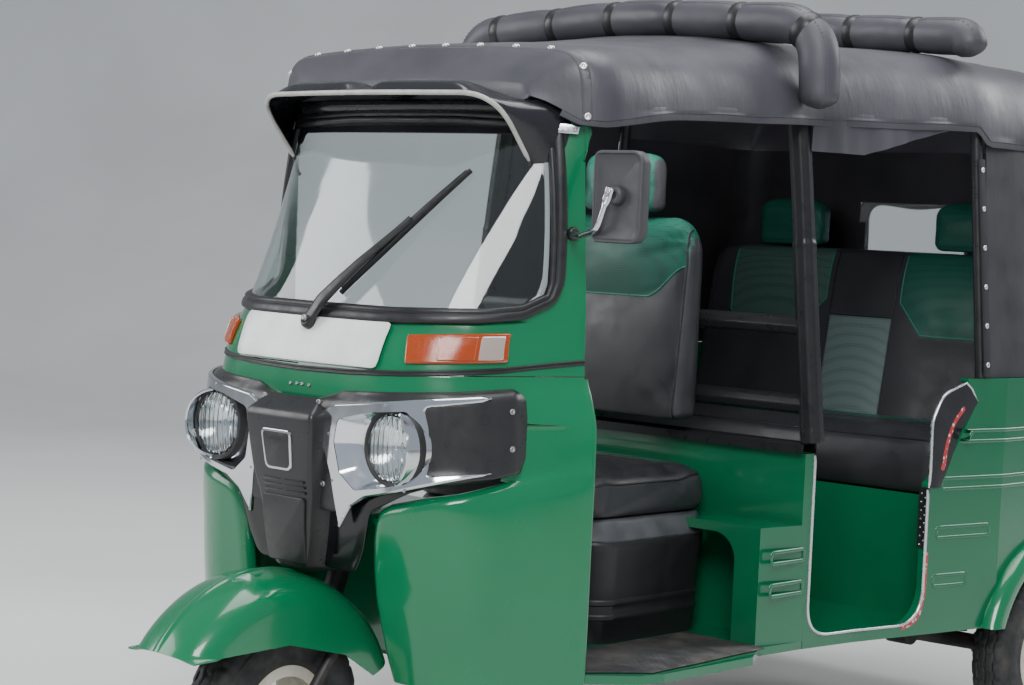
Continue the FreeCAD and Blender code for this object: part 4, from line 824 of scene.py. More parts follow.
# The bowl runs from the bezel's opening back to the lens
opening = []
for run, height in BOWL:
    point = shell_point(height, run, 25.0)
    opening.append((math.atan2(point.z * 1000 - LAMP_CENTRE[1], point.x * 1000 - LAMP_CENTRE[0]), point))
opening.sort(key=lambda entry: entry[0])
bowl_points = []
for depth in range(9):
    share = depth / 8
    for angle, point in opening:
        target = in_frame(LAMP_CENTRE[0] + 75 * math.cos(angle), LENS_BEHIND + 12,
                          LAMP_CENTRE[1] + 75 * math.sin(angle))
        bowl_points.append(point.lerp(target, share ** 0.8) + Vector((0, 0.012 * math.sin(math.pi * share),
                                                                      0)))
both_lamps("lamp_bowl", bowl_points, grid_faces(9, len(opening), closed=True), reflector_chrome,
           "lamp_chrome")
points, faces = turned([(78, LENS_BEHIND + 16), (78, LENS_BEHIND + 2), (76, LENS_BEHIND - 3),
                        (71, LENS_BEHIND - 4), (67.5, LENS_BEHIND - 1), (67, LENS_BEHIND + 10)], LAMP_CENTRE)
both_lamps("lamp_rubber_ring", points, faces, gasket_rubber, "black_rubber")
points, faces = turned([(67.5, LENS_BEHIND + 6), (67, LENS_BEHIND), (62, LENS_BEHIND - 4),
                        (50, LENS_BEHIND - 8), (34, LENS_BEHIND - 11), (17, LENS_BEHIND - 12.5),
                        (0.1, LENS_BEHIND - 13), (0.1, LENS_BEHIND - 10), (34, LENS_BEHIND - 8),
                        (62, LENS_BEHIND - 1), (63, LENS_BEHIND + 6), (67.5, LENS_BEHIND + 6)], LAMP_CENTRE)
both_lamps("lamp_lens", points, faces, lens_glass, "lamp_glass", ["headlamps"])
reflector = [(67 * share, LENS_BEHIND + 8 + 46 * (1 - share ** 2)) for share in (1, 0.9, 0.78, 0.64, 0.5,
                                                                                 0.36, 0.22, 0.12)]
points, faces = turned(reflector, LAMP_CENTRE)
both_lamps("lamp_reflector", points, faces, reflector_chrome, "lamp_chrome")
points, faces = turned([(9, LENS_BEHIND + 52), (9, LENS_BEHIND + 40), (6, LENS_BEHIND + 38),
                        (6.5, LENS_BEHIND + 28),
                        (5, LENS_BEHIND + 20), (0.1, LENS_BEHIND + 17)], LAMP_CENTRE, 20)
both_lamps("lamp_bulb", points, faces, lens_glass, "lamp_glass")

# A hood of bright trim round the outer side of each lens
points, faces = turned([(78.5, LENS_BEHIND + 30), (77, LENS_BEHIND), (75.5, LENS_BEHIND - 27),
                        (72, LENS_BEHIND - 30),
                        (69, LENS_BEHIND - 27), (70.5, LENS_BEHIND - 4)], LAMP_CENTRE, 40, (-82, 78))
for number, point in enumerate(points):
    share = abs(number // 6 / 40 * 2 - 1)
    point.y += 0.026 * share ** 3 * (1 if number % 6 in (2, 3, 4) else 0)
both_lamps("lamp_hood", points, faces, bright_chrome, "lamp_chrome")

# Bolt heads sit in two dished recesses at the end of each wing, and screws in the bezels and nose
screw_steel = finish("screw_steel", (0.32, 0.32, 0.33), 0.35, 1.0, gloss=(0.25, 0.5, 0.004))


def set_out(name, stamp, stations, material, body):
    """Copies of one small shape, set out with Geometry Nodes on (place, up, way) stations in metres."""
    stamp_object = bpy.data.objects.new(name + "_stamp", stamp)
    seeds = bpy.data.meshes.new(name)
    seeds.from_pydata([tuple(station[0]) for station in stations], [], [])
    labels = ("up", "way")[:len(stations[0]) - 1]
    for column, label in enumerate(labels, 1):
        values = seeds.attributes.new(label, "FLOAT_VECTOR", "POINT")
        for index, station in enumerate(stations):
            values.data[index].vector = station[column]
    made = placed(name, seeds)
    tree = bpy.data.node_groups.new(name + "_set_out", "GeometryNodeTree")
    tree.interface.new_socket("Geometry", in_out="INPUT", socket_type="NodeSocketGeometry")
    size_socket = tree.interface.new_socket("Size", in_out="INPUT", socket_type="NodeSocketFloat")
    tree.interface.new_socket("Geometry", in_out="OUTPUT", socket_type="NodeSocketGeometry")
    link, add = tree.links.new, tree.nodes.new
    entry, leave, copies = add("NodeGroupInput"), add("NodeGroupOutput"), add("GeometryNodeInstanceOnPoints")
    source, realise, coat = (add("GeometryNode" + kind)
                             for kind in ("ObjectInfo", "RealizeInstances", "SetMaterial"))
    source.inputs["Object"].default_value = stamp_object
    coat.inputs["Material"].default_value = material
    turned_by = None
    for label in labels:
        direction, aim = add("GeometryNodeInputNamedAttribute"), add("FunctionNodeAlignRotationToVector")
        direction.data_type = "FLOAT_VECTOR"
        direction.inputs["Name"].default_value = label
        aim.axis = "Z" if label == "up" else "X"
        link(direction.outputs["Attribute"], aim.inputs["Vector"])
        if turned_by:
            aim.pivot_axis = "Z"
            link(turned_by, aim.inputs["Rotation"])
        turned_by = aim.outputs["Rotation"]
    link(entry.outputs["Geometry"], copies.inputs["Points"])
    link(source.outputs["Geometry"], copies.inputs["Instance"])
    link(turned_by, copies.inputs["Rotation"])
    link(entry.outputs["Size"], copies.inputs["Scale"])
    link(copies.outputs["Instances"], realise.inputs["Geometry"])
    link(realise.outputs["Geometry"], coat.inputs["Geometry"])
    link(coat.outputs["Geometry"], leave.inputs["Geometry"])
    modifier = made.modifiers.new("set out", "NODES")
    modifier.node_group = tree
    modifier[size_socket.identifier] = 1.0
    settled(made)
    made.data.materials.clear()
    made.data.materials.append(material)
    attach(made, body)
    return made


def lathed(name, rows, smooth):
    """A small closed shape from rings of points."""
    mesh, shape = bpy.data.meshes.new(name), bmesh.new()
    rings = [[shape.verts.new(spot) for spot in row] for row in rows]
    sides = len(rings[0])
    for low, high in zip(rings, rings[1:]):
        for s in range(sides):
            shape.faces.new((low[s], low[(s + 1) % sides], high[(s + 1) % sides], high[s]))
    if not smooth:
        shape.faces.new(rings[0][::-1])
    shape.faces.new(rings[-1])
    shape.to_mesh(mesh)
    shape.free()
    if smooth:
        mesh.shade_smooth()
    return mesh


HEAD_PROFILE = ((1.0, -0.4), (1.0, 0.35), (0.93, 0.7), (0.78, 0.92), (0.45, 1.0), (0.40, 0.72), (0.12, 0.70))


def repeated_head(name, stations, radius, proud, material=screw_steel,
                  body="chassis", sides=18):
    """Domed heads on (place, normal) stations."""
    rows = [[(radius * share * math.cos(2 * math.pi * s / sides),
              radius * share * math.sin(2 * math.pi * s / sides),
              proud * rise) for s in range(sides)] for share, rise in HEAD_PROFILE]
    return set_out(name, lathed(name + "_head", rows, True), stations, material, body)


def shell_spots(spots, out):
    """Places and normals on both sides of the shell for heads at (run, height)."""
    stations = []
    for side in (1, -1):
        for run, height in spots:
            here = shell_point(height, side * run, out)
            stations.append((here, (shell_point(height, side * run, out + 5) - here).normalized()))
    return stations


repeated_head("nose_screws", shell_spots([(484, 851), (487, 781), (92, 690), (80, 850)], 22.5), 0.0062,
              0.0035)
repeated_head("bezel_screws", shell_spots([(112, 792), (122, 700), (250, 858), (300, 693)], 26.6), 0.0032,
              0.0016)
repeated_head("panel_studs", shell_spots([(28, 879), (8, 880)], 0.2), 0.004, 0.003)

# Turn lamps: an orange base with a clear end, wrapped round the corners above the seam
turn_amber = finish("turn_lamp_amber", (0.44, 0.060, 0.004), 0.18, gloss=(0.1, 0.25, 0.01))
tuned(turn_amber, Transmission_Weight=0.25, Subsurface_Weight=0.15, Subsurface_Radius=(0.01, 0.004, 0.002))
cells = on_object(turn_amber, shader_node(turn_amber, "TexChecker", Scale=190.0))
embossed(turn_amber, cells.outputs["Fac"], 0.0008, 0.5)
turn_clear = finish("turn_lamp_clear", (0.62, 0.55, 0.50), 0.15, gloss=(0.08, 0.22, 0.008))
tuned(turn_clear, Transmission_Weight=0.5)
shell_plate("turn_lamp_base",
            rounded_path([(254, 993, 6), (453, 1005, 6), (470, 948, 6), (266, 939, 6)], 8.0),
            lambda run, height: 9.0, turn_amber, "amber_lens", ["indicators"], (1, -1), spacing=12.0,
            edge_drop=3.0, edge_wide=3.0)
shell_plate("turn_lamp_dark_cell",
            rounded_path([(318, 990, 4), (392, 994.5, 4), (398, 950.5, 4), (326, 946, 4)], 8.0),
            lambda run, height: 11.4, turn_amber, "amber_lens", (), (1, -1), spacing=12.0, edge_drop=1.5,
            edge_wide=2.0)
shell_plate("turn_lamp_clear_cell",
            rounded_path([(398, 995, 4), (444, 998, 4), (456, 953, 4), (404, 950, 4)], 8.0),
            lambda run, height: 11.6, turn_clear, "lamp_glass", (), (1, -1), spacing=12.0, edge_drop=1.5,
            edge_wide=2.0)

# Blank number plate on the panel above the seam
plate_paint = finish("number_plate_paint", (0.72, 0.73, 0.71), 0.3,
                     blotches=((0.66, 0.67, 0.64), (0.76, 0.77, 0.75), 0.08, 0.35, 0.7),
                     gloss=(0.22, 0.4, 0.05))


def centre_plate(name, half_wide_top, half_wide_low, top, low, turn, out, thick, material, slot_name):
    """A plate that spans the middle of the shell, as a grid with rounded corners."""
    rows, columns = 9, 24
    points = []
    for row in range(rows):
        share = row / (rows - 1)
        height = low + (top - low) * (0.5 - 0.5 * math.cos(math.pi * share))
        half = half_wide_low + (half_wide_top - half_wide_low) * share
        edge_gap = min(height - low, top - height)
        if edge_gap < turn:
            half -= turn - math.sqrt(max(turn ** 2 - (turn - edge_gap) ** 2, 0))
        for column in range(columns + 1):
            points.append(shell_point(height, half * (column / columns * 2 - 1), out))
    made = piece(name, points, grid_faces(rows, columns + 1), material, slot_name)
    return settled(thickened(made, thick, 0.0, 0.0008), 40)


centre_plate("front_number_plate", 214, 208, 1013, 925, 10, 8.0, 0.002, plate_paint, None)


# Tyres: moulded rubber with grooved ribs on the crown, fine lugs on the shoulders and a raised bead
# line on each wall. Road dust greys the tread.
tyre_black = finish("tyre_black_rubber", (0.017, 0.017, 0.018), 0.6, gloss=(0.45, 0.8, 0.03),
                    grain=[(0.0015, 0.0002, 0.5)],
                    blotches=((0.013, 0.013, 0.014), (0.045, 0.041, 0.036), 0.05, 0.45, 0.75, 4))
TYRE_WALL = [(34, 106), (40, 107), (44.5, 111), (46.5, 117), (47, 121), (49, 122), (50, 126), (49.8, 129),
             (52.6, 140), (53.8, 152), (53.6, 164), (52, 174), (50.5, 176.5), (49.6, 176.8), (48.4, 181),
             (46.6, 186), (44.6, 190.5), (41.6, 194.5), (38.4, 197.6), (35, 200.2), (31.2, 202.4),
             (27.4, 204), (24, 205.2), (23, 205.4), (19, 206.4), (18, 206.6), (14, 207.3), (10, 207.7),
             (6, 207.9), (5, 208), (1.8, 208), (0.9, 208)]
TURNS = 224
paint_of_rim = finish("rim_cream_enamel", (0.52, 0.49, 0.40), 0.32, gloss=(0.22, 0.5, 0.04),
                      blotches=((0.36, 0.32, 0.25), (0.56, 0.53, 0.44), 0.07, 0.3, 0.55, 5))
for name in ("front_rim", "rear_left_rim", "rear_right_rim"):
    dressed(name, paint_of_rim)
for word, body, across, behind in (("front", "front_wheel", 0, 0),
                                   ("rear_left", "rear_wheel_left", 575, 2000),
                                   ("rear_right", "rear_wheel_right", -575, 2000)):
    profile = [(a, r) for a, r in TYRE_WALL] + [(-a, r) for a, r in reversed(TYRE_WALL)]
    points = []
    for turn in range(TURNS):
        angle = 2 * math.pi * turn / TURNS
        for wide, radius in profile:
            place = abs(wide)
            sway = 2.2 * math.sin(2 * math.pi * turn / 8)
            deep = 0.0
            if radius > 199:
                for groove in (0, 20.5):
                    deep = max(deep, 1 - abs(abs(wide + sway) - groove) / 2.6)
                if 23 < place < 38 and turn % 8 in (0, 1):
                    deep = max(deep, 0.8)
                if 5 < place < 17 and (turn + (3 if wide > 0 else 7)) % 8 == 0:
                    deep = max(deep, 0.5)
            if 178 < radius < 199 and turn % 8 in (0, 1):
                deep = 0.45
            reach = radius - 5.5 * max(min(deep, 1), 0)
            points.append(in_frame(across + wide, behind - reach * math.sin(angle),
                                   208 + reach * math.cos(angle)))
    count = len(profile)
    faces = ring_faces(TURNS, count)
    faces += [(turn * count, (turn + 1) % TURNS * count, ((turn + 1) % TURNS + 1) * count - 1,
               (turn + 1) * count - 1)
              for turn in range(TURNS)]
    made = piece(word + "_tyre_rubber", points, faces, tyre_black, "tyre_rubber", [word + "_tyre"], body,
                 sharp=42)
    nuts, caps = [], []
    for side in (1, -1):
        face_out = Vector((side, 0, 0))
        for step in range(4):
            angle = math.radians(45 + 90 * step)
            nuts.append((in_frame(across + side * 4, behind + 44 * math.cos(angle),
                                  208 + 44 * math.sin(angle)),
                         face_out))
        caps.append((in_frame(across + side * 45.6, behind, 208), face_out))
    if word != "front":
        nuts, caps = [nut for nut in nuts if nut[1].x * across > 0], [cap for cap in caps
                                                                      if cap[1].x * across > 0]
        repeated_head(word + "_hub_cap", caps, 0.026, 0.010, body=body, sides=24)
    repeated_head(word + "_wheel_nuts", nuts, 0.0095, 0.011, body=body, sides=6)

# Front mudguard: a deep pressing with a crowned top, a rolled lip round its skirts and a raised
# middle line. It turns with the fork.
GUARD_CROWN = [(102, 150), (102, 128), (102, 106), (102, 84), (101.6, 66), (100, 52), (96.5, 40), (90.5, 30),
               (82, 21), (71, 14), (58, 9), (43, 5), (27, 2.5), (12, 1), (7, 0.6), (5, -1.6), (0, -2)]
guard_section = GUARD_CROWN + [(-across, drop) for across, drop in reversed(GUARD_CROWN[:-1])]
SKIRT_LINE = [(-340, 360), (-274, 364), (-48, 372), (102, 336), (180, 286), (340, 190)]


def skirt_height(behind):
    for (a, low), (b, high) in zip(SKIRT_LINE, SKIRT_LINE[1:]):
        if behind <= b:
            return low + (high - low) * (behind - a) / (b - a)
    return SKIRT_LINE[-1][1]


guard_points = []
GUARD_TURNS = 72
for step in range(GUARD_TURNS + 1):
    angle = math.radians(22 + (145.9 - 22) * step / GUARD_TURNS)
    lowest = 316.0
    for try_drop in range(0, 151):
        reach = 316 - try_drop
        behind, height = -40 + reach * math.cos(angle), 195 + reach * math.sin(angle)
        if height < skirt_height(behind):
            break
        lowest = reach
    for across, drop in guard_section:
        reach = max(316 - drop, lowest)
        if drop <= 0:
            edge = min(step, GUARD_TURNS - step) / 3
            reach = 316 - drop * min(edge, 1)
        guard_points.append(in_frame(across, -40 + reach * math.cos(angle), 195 + reach * math.sin(angle)))
guard = piece("front_mudguard_pressing", guard_points, grid_faces(GUARD_TURNS + 1, len(guard_section)),
              bright_green, "green_paint", ["front_mudguard"], "steering")
outward(guard)
settled(thickened(guard, 0.0035, -1.0), 50)

# Rear mudguards: a pressed flare round each wheel arch, its outer edge rolled in over the wheel
FLARE = [(614, 312), (622, 312.5), (630, 311), (640, 307), (646.5, 301), (649.5, 293), (650, 284), (650, 272),
         (648.8, 265.5), (645, 262.4), (640, 262), (638, 264), (638, 268)]
for side, word in ((1, "left"), (-1, "right")):
    points = []
    start, stop = math.asin(96.5 / 312), math.pi - math.asin(96.5 / 312)
    for step in range(73):
        angle = start + (stop - start) * step / 72
        for across, reach in FLARE:
            up = max(208 + reach * math.sin(angle), 304.3)
            points.append(in_frame(side * across, 2000 + reach * math.cos(angle), up))
    flare = piece("rear_mudguard_flare_" + word, points, grid_faces(73, len(FLARE)), bright_green,
                  "green_paint", ["rear_mudguards"] if side > 0 else ())
    outward(flare)
    settled(thickened(flare, 0.0025, 0.0), 50)

# Canopy: one cover of coated vinyl cloth stretched over the hoops. It is sewn along the front bow,
# over every hoop and round the hem, and pulls into shallow folds between them.
charcoal_vinyl = finish("charcoal_hood_vinyl", (0.060, 0.058, 0.068), 0.5, gloss=(0.36, 0.58, 0.12, 4),
                        blotches=((0.036, 0.035, 0.043), (0.064, 0.062, 0.074), 0.25, 0.3, 0.72, 4))
embossed(charcoal_vinyl, noise(charcoal_vinyl, 0.0022, 3), 0.0004, 0.35)
embossed(charcoal_vinyl, noise(charcoal_vinyl, 0.05, 3, stretch=(1, 3, 1)), 0.004, 0.22)
CANOPY_ROWS = (
    (306, 350, 1474, 336, 1496, 1508, 14), (322, 378, 1466, 362, 1521, 1535, 24),
    (342, 412, 1448, 397, 1545, 1560, 40), (362, 444, 1432, 428, 1566, 1582, 62),
    (392, 470, 1431, 456, 1573, 1590, 84), (428, 482, 1436, 472, 1579, 1594, 104),
    (620, 482, 1462, 472, 1594, 1616, 126), (840, 482, 1471, 472, 1616, 1643, 138),
    (1058, 482, 1480, 472, 1640, 1672, 145), (1400, 532, 1492, 520, 1652, 1686, 148),
    (1640, 566, 1500, 552, 1661, 1696, 150), (1690, 572, 1467, 556, 1661, 1700, 165),
    (2200, 582, 1467, 566, 1652, 1694, 170), (2260, 579, 1467, 556, 1630, 1672, 150),
    (2288, 575, 1467, 540, 1600, 1640, 120),
)
HOOPS_AT = (372, 428, 1090, 1670, 2236)


def canopy_section(behind):
    """One section of the cover, from the left hem over the crown to the right hem."""
    low_across, low, across, shoulder, crown, turn = eased(CANOPY_ROWS, behind)
    side_way = Vector((across - low_across, shoulder - low)).normalized()
    corner = Vector((across, shoulder))
    crown_way = Vector((-across, crown - shoulder)).normalized()
    reach = min(turn, (shoulder - low) * 0.92)
    begin, end = corner - side_way * reach, corner + crown_way * turn
    line = [Vector((low_across, low)).lerp(begin, step / 10) for step in range(10)]
    for step in range(13):
        t = step / 12
        line.append(begin * (1 - t) ** 2 + corner * 2 * t * (1 - t) + end * t * t)
    for step in range(1, 17):
        x = end.x * (1 - step / 16)
        line.append(Vector((x, crown - (crown - end.y) * (x / end.x) ** 2)))
    return line + [Vector((-p.x, p.y)) for p in reversed(line[:-1])]


def canopy_point(behind, share, out=0.0):
    """A point of the cover; share runs from 0 at the left hem to 1 at the right hem."""
    def at(station, part):
        line = canopy_section(station)
        place = min(max(part, 0), 1) * (len(line) - 1)
        index = min(int(place), len(line) - 2)
        spot = line[index].lerp(line[index + 1], place - index)
        return Vector((spot.x, station, spot.y))
    here = at(behind, share)
    along = at(min(behind + 6, 2288), share) - at(max(behind - 6, 306), share)
    over = at(behind, share + 0.01) - at(behind, share - 0.01)
    normal = over.cross(along).normalized()
    if normal.z < 0 and abs(share - 0.5) < 0.4 or normal.x * here.x < 0:
        normal = -normal
    gaps = [abs(behind - hoop) for hoop in HOOPS_AT]
    free = min(min(gaps) / 120, 1.0)
    top = soft_step(math.sin(math.pi * share), 0.35, 0.8)
    sag = -7.0 * free * top * soft_step(behind, 430, 700)
    fold = 2.6 * free * blender_noise.noise(Vector((here.x / 160, behind / 70, here.z / 160)))
    fold += 1.2 * blender_noise.noise(Vector((here.x / 45, behind / 45, here.z / 45)))
    hem = math.sin(behind / 38.0) * 2.4 * (1 - soft_step(math.sin(math.pi * share), 0.0, 0.22)) * free
    here += normal * (out + sag * 0.5 + fold * 0.8 + hem)
    return in_frame(*here), normal


stations = [306, 309, 314, 322, 332, 344, 356, 364, 372, 380, 392, 408, 428, *range(446, 2267, 20), 2276,
            2288]
LAPS = 57
cover_rows = [[canopy_point(behind, step / (LAPS - 1))[0] for step in range(LAPS)] for behind in stations]


def closing(row, low, behind):
    """Rows that bring the end of the cover down to a level line, from the last one back to it."""
    return [[Vector((spot.x * (1 - 0.004 * part), spot.y + behind * part / 3,
                     spot.z + (min(low, spot.z) - spot.z) * part / 3))
             for spot in row] for part in (1, 2, 3)]


cover_rows = closing(cover_rows[0], 1.468, -0.003)[::-1] + cover_rows + closing(cover_rows[-1], 1.464, 0.004)
cover_points = [spot for row in cover_rows for spot in row]
cover = piece("canopy_cover", cover_points, grid_faces(len(cover_rows), LAPS), charcoal_vinyl, "hood_vinyl",
              ["canopy"])
settled(thickened(cover, 0.0035, -1.0), 60)


def cover_strip(name, line, wide, proud, material, slot_name="hood_vinyl"):
    """A flat sewn strip on the cover, along (behind, share) pairs, its edges rounded down."""
    points = []
    for index, (behind, share) in enumerate(line):
        spot, normal = canopy_point(behind, share)
        ahead = (canopy_point(*line[min(index + 1, len(line) - 1)])[0]
                 - canopy_point(*line[max(index - 1, 0)])[0])
        across = ahead.cross(normal).normalized() * wide / 1000
        for part, rise in ((-0.5, -0.5), (-0.49, 0.55), (-0.42, 1.0), (0, 1.0), (0.42, 1.0), (0.49, 0.55),
                           (0.5, -0.5)):
            points.append(spot + across * part + normal * (proud * rise) / 1000)
    return piece(name, points, grid_faces(len(line), 7), material, slot_name)


bow_line = [(368, step / 96) for step in range(97)]
cover_strip("bow_seam", bow_line, 24, 3.4, charcoal_vinyl)
for number, hoop_at in enumerate((1118, 1660, 2228)):
    cover_strip("hoop_seam_%d" % (number + 1), [(hoop_at, step / 96) for step in range(97)], 24, 1.6,
                charcoal_vinyl)
for word, share in (("left", 0.006), ("right", 0.994)):
    cover_strip("hem_" + word, [(340 + 19.4 * step, share) for step in range(100)], 30, 1.8, charcoal_vinyl)
    shoulder_line = [(372 + 19.0 * step, 0.335 if word == "left" else 0.665) for step in range(100)]
    cover_strip("shoulder_welt_" + word, shoulder_line, 9, 2.6, charcoal_vinyl)
STUDS = 12
bow_places = [canopy_point(368, step / 400, 3.4) for step in range(5, 396)]
bow_lengths = [0.0]
for (before, way), (here, way) in zip(bow_places, bow_places[1:]):
    bow_lengths.append(bow_lengths[-1] + (here - before).length)
stud_stations = [next(place for place, length in zip(bow_places, bow_lengths)
                      if length >= bow_lengths[-1] * number / (STUDS - 1) - 1e-6)
                 for number in range(STUDS)]
hood_studs = finish("hood_stud_metal", (0.70, 0.70, 0.69), 0.25, 1.0, gloss=(0.2, 0.45, 0.006))
repeated_head("bow_studs", stud_stations, 0.0078, 0.0046, hood_studs, sides=14)


def sewn_line(name, stations, thread):
    """Stitches set out along a line of (place, normal, way) stations, each a small rounded bar."""
    length, thick = 0.0055, 0.0007
    rows = [[(along * length, thick * size * math.cos(math.pi * s / 3),
              thick * size * math.sin(math.pi * s / 3))
             for s in range(6)] for along, size in ((-0.5, 0.3), (-0.34, 1.0), (0.34, 1.0), (0.5, 0.3))]
    return set_out(name, lathed(name + "_stitch", rows, False), stations, thread, "chassis")


hood_thread = finish("hood_thread", (0.10, 0.10, 0.115), 0.7, gloss=(0.6, 0.8, 0.004))
hood_stitches = []
for hoop_at in (358, 378, 1109, 1127, 1651, 1669):
    for step in range(200):
        spot, normal = canopy_point(hoop_at, step / 199, 2.0)
        after = canopy_point(hoop_at, min(step + 1, 199) / 199, 2.0)[0]
        before = canopy_point(hoop_at, max(step - 1, 0) / 199, 2.0)[0]
        hood_stitches.append((spot, normal, (after - before).normalized()))
sewn_line("hood_stitching", hood_stitches, hood_thread)

# Roof rolls: two foam bolsters in the same cloth, laced to the cover with flat straps. The front one
# hangs down both sides; each strap nips it in, and the ends are gathered and tucked.


def rounded_line(corners, spacing):
    """Points in space along straight lines whose corners (x, behind, height, turn) are rounded."""
    path = [Vector(corners[0][:3])]
    for before, here, ahead in zip(corners, corners[1:], corners[2:]):
        spot = Vector(here[:3])
        back, on = Vector(before[:3]) - spot, Vector(ahead[:3]) - spot
        turn = math.pi - back.angle(on)
        reach = min(here[3] * math.tan(turn / 2), back.length * 0.49, on.length * 0.49)
        for step in range(13):
            t = step / 12
            path.append((spot + back.normalized() * reach) * (1 - t) ** 2 + spot * 2 * t * (1 - t)
                        + (spot + on.normalized() * reach) * t * t)
    path.append(Vector(corners[-1][:3]))
    lengths = [0.0]
    for first, second in zip(path, path[1:]):
        lengths.append(lengths[-1] + (second - first).length)
    count = max(int(lengths[-1] / spacing), 2)
    even, index = [], 0
    for step in range(count + 1):
        place = lengths[-1] * step / count
        while index < len(path) - 2 and lengths[index + 1] < place:
            index += 1
        share = (place - lengths[index]) / max(lengths[index + 1] - lengths[index], 1e-6)
        even.append(path[index].lerp(path[index + 1], min(max(share, 0), 1)))
    return even


def swept_tube(path, radius_at, sides=24, flat=1.0, caps=True):
    """Points and faces of a round bar along a path in millimetres; radius_at(index, angle)."""
    points, reference = [], Vector((0, 1, 0))
    for index, spot in enumerate(path):
        way = (path[min(index + 1, len(path) - 1)] - path[max(index - 1, 0)]).normalized()
        side = way.cross(reference).normalized()
        over = side.cross(way).normalized()
        for corner in range(sides):
            angle = 2 * math.pi * corner / sides
            radius = radius_at(index, angle)
            spot_here = spot + side * (radius * math.cos(angle)) + over * (radius * flat * math.sin(angle))
            points.append(in_frame(*spot_here))
    return points, capped_faces(len(path), sides) if caps else grid_faces(len(path), sides, closed=True)


def roll_path(behind, end_height, lift, end_out):
    low_across, low, across, shoulder, crown, turn = eased(CANOPY_ROWS, behind)
    if end_height:
        side = [(low_across + end_out, behind, end_height, 0),
                (across + lift, behind, shoulder + lift, turn + lift)]
    else:
        side = [(across - 30, behind, shoulder + 6, 0), (across - 44, behind, shoulder + lift + 9, 60)]
    corners = side + [(0, behind, crown + lift + (2.5 if not end_height else 0) - 2, 2600)]
    corners += [(-x, y, z, r) for x, y, z, r in reversed(side)]
    return rounded_line(corners, 7.0)


STRAP_PITCH = 26
for word, path in (("front", roll_path(1045, 1500, 44.5, 45)), ("rear", roll_path(1662, None, 44.5, 0))):
    last = len(path) - 1

    def roll_radius(index, angle):
        from_end = min(index, last - index) * 7.0
        nip = abs((index + STRAP_PITCH // 2) % STRAP_PITCH - STRAP_PITCH / 2) * 7.0
        pinch = 3.4 * math.exp(-(nip / 20) ** 2)
        bulge = 1.4 * math.cos(math.pi * min(nip / 90, 1.0))
        end = 45 * math.sqrt(max(1 - max(1 - from_end / 26, 0) ** 2, 0.04))
        creases = 0.8 * blender_noise.noise(Vector((index / 5.0, math.cos(angle) * 2.2,
                                                    math.sin(angle) * 2.2)))
        gather = 1.6 * math.cos(angle * 11) * math.exp(-from_end / 14)
        return min(45, end) - pinch - bulge * 0.5 + creases + gather - 0.4

    points, faces = swept_tube(path, roll_radius, 36)
    roll = piece("roof_roll_" + word, points, faces, charcoal_vinyl, "padded_vinyl", ["roof_rolls"])
    straps = []
    for start in range(STRAP_PITCH, last - 6, STRAP_PITCH):
        ring_points = path[start - 2:start + 3]
        fine = [ring_points[0].lerp(ring_points[-1], step / 4) for step in range(5)]
        lift_rows = (0.0, 2.2, 2.6, 2.2, 0.0)
        straps.append(swept_tube(fine, lambda index, angle: 41.6 + lift_rows[index], 36, caps=False))
    piece("roll_straps_" + word, *joined(straps), bead_rubber, "hood_vinyl")
    seam_line = []
    for index in range(4, last - 4):
        way = (path[index + 1] - path[index - 1]).normalized()
        front_way = Vector((0, -1, 0))
        up_way = way.cross(front_way).normalized()
        if up_way.z < 0 or (abs(up_way.z) < 0.3 and up_way.x * path[index].x < 0):
            up_way = -up_way
        outward_way = (front_way * 0.55 + up_way * 0.83).normalized()
        spot = path[index] + outward_way * (roll_radius(index, 0) + 0.6)
        seam_line.append((in_frame(*spot), outward_way, way))
    sewn_line("roll_stitching_" + word, seam_line, hood_thread)

# Sun flap: a loose strip of the cloth that hangs inside the hem over the passengers' entry
FLAP_TOP, FLAP_LOW = (((1094, 1500), (1575, 1512)),
                      ((1094, 1411), (1262, 1411), (1420, 1453), (1560, 1490), (1575, 1497)))
flap_points = []
for step in range(61):
    behind = 1094 + 481 * step / 60
    high = 1500 + 12 * step / 60
    low = next(a[1] + (b[1] - a[1]) * (behind - a[0]) / (b[0] - a[0]) for a, b in zip(FLAP_LOW, FLAP_LOW[1:])
               if a[0] <= behind <= b[0])
    edge = eased(CANOPY_ROWS, 1094)[0] + (eased(CANOPY_ROWS, 1575)[0] - eased(CANOPY_ROWS,
                                                                              1094)[0]) * step / 60 - 3
    for row in range(13):
        share = row / 12
        height = high + (low - high) * share
        wave = 3.2 * share * math.sin(behind / 26.0) + 2.0 * share * math.sin(behind / 11.0 + 1.2)
        flap_points.append(in_frame(edge + wave, behind, height))
flap = piece("sun_flap_cloth", flap_points, grid_faces(61, 13), charcoal_vinyl, "hood_vinyl", ["sun_flap"])
settled(thickened(flap, 0.0022, 0.0), 60)

# Hoops: bent steel tubes that hold up the cover. The middle one and its two guard bars are sleeved
# in fluted black rubber, thicker low on the posts; the rear one is bare and painted.
sleeve_rubber = finish("ribbed_sleeve_rubber", (0.014, 0.014, 0.015), 0.42, gloss=(0.24, 0.42, 0.03))
tuned(sleeve_rubber, Specular_IOR_Level=0.3)
hoop_section = eased(CANOPY_ROWS, 1090)
inset = 8 + 27 + 5
low_side = (hoop_section[0] - inset, 1090, hoop_section[1] + 10, 300)
shoulder_side = (hoop_section[2] - inset, 1090, hoop_section[3] - inset, hoop_section[5] - inset)
hoop_corners = [(524, 1090, 767.5, 0), low_side, shoulder_side, (0, 1090, hoop_section[4] - inset, 3000)]
hoop_corners += [(-x, y, z, r) for x, y, z, r in reversed(hoop_corners[:-1])]
hoop_path = rounded_line(hoop_corners, 4.5)


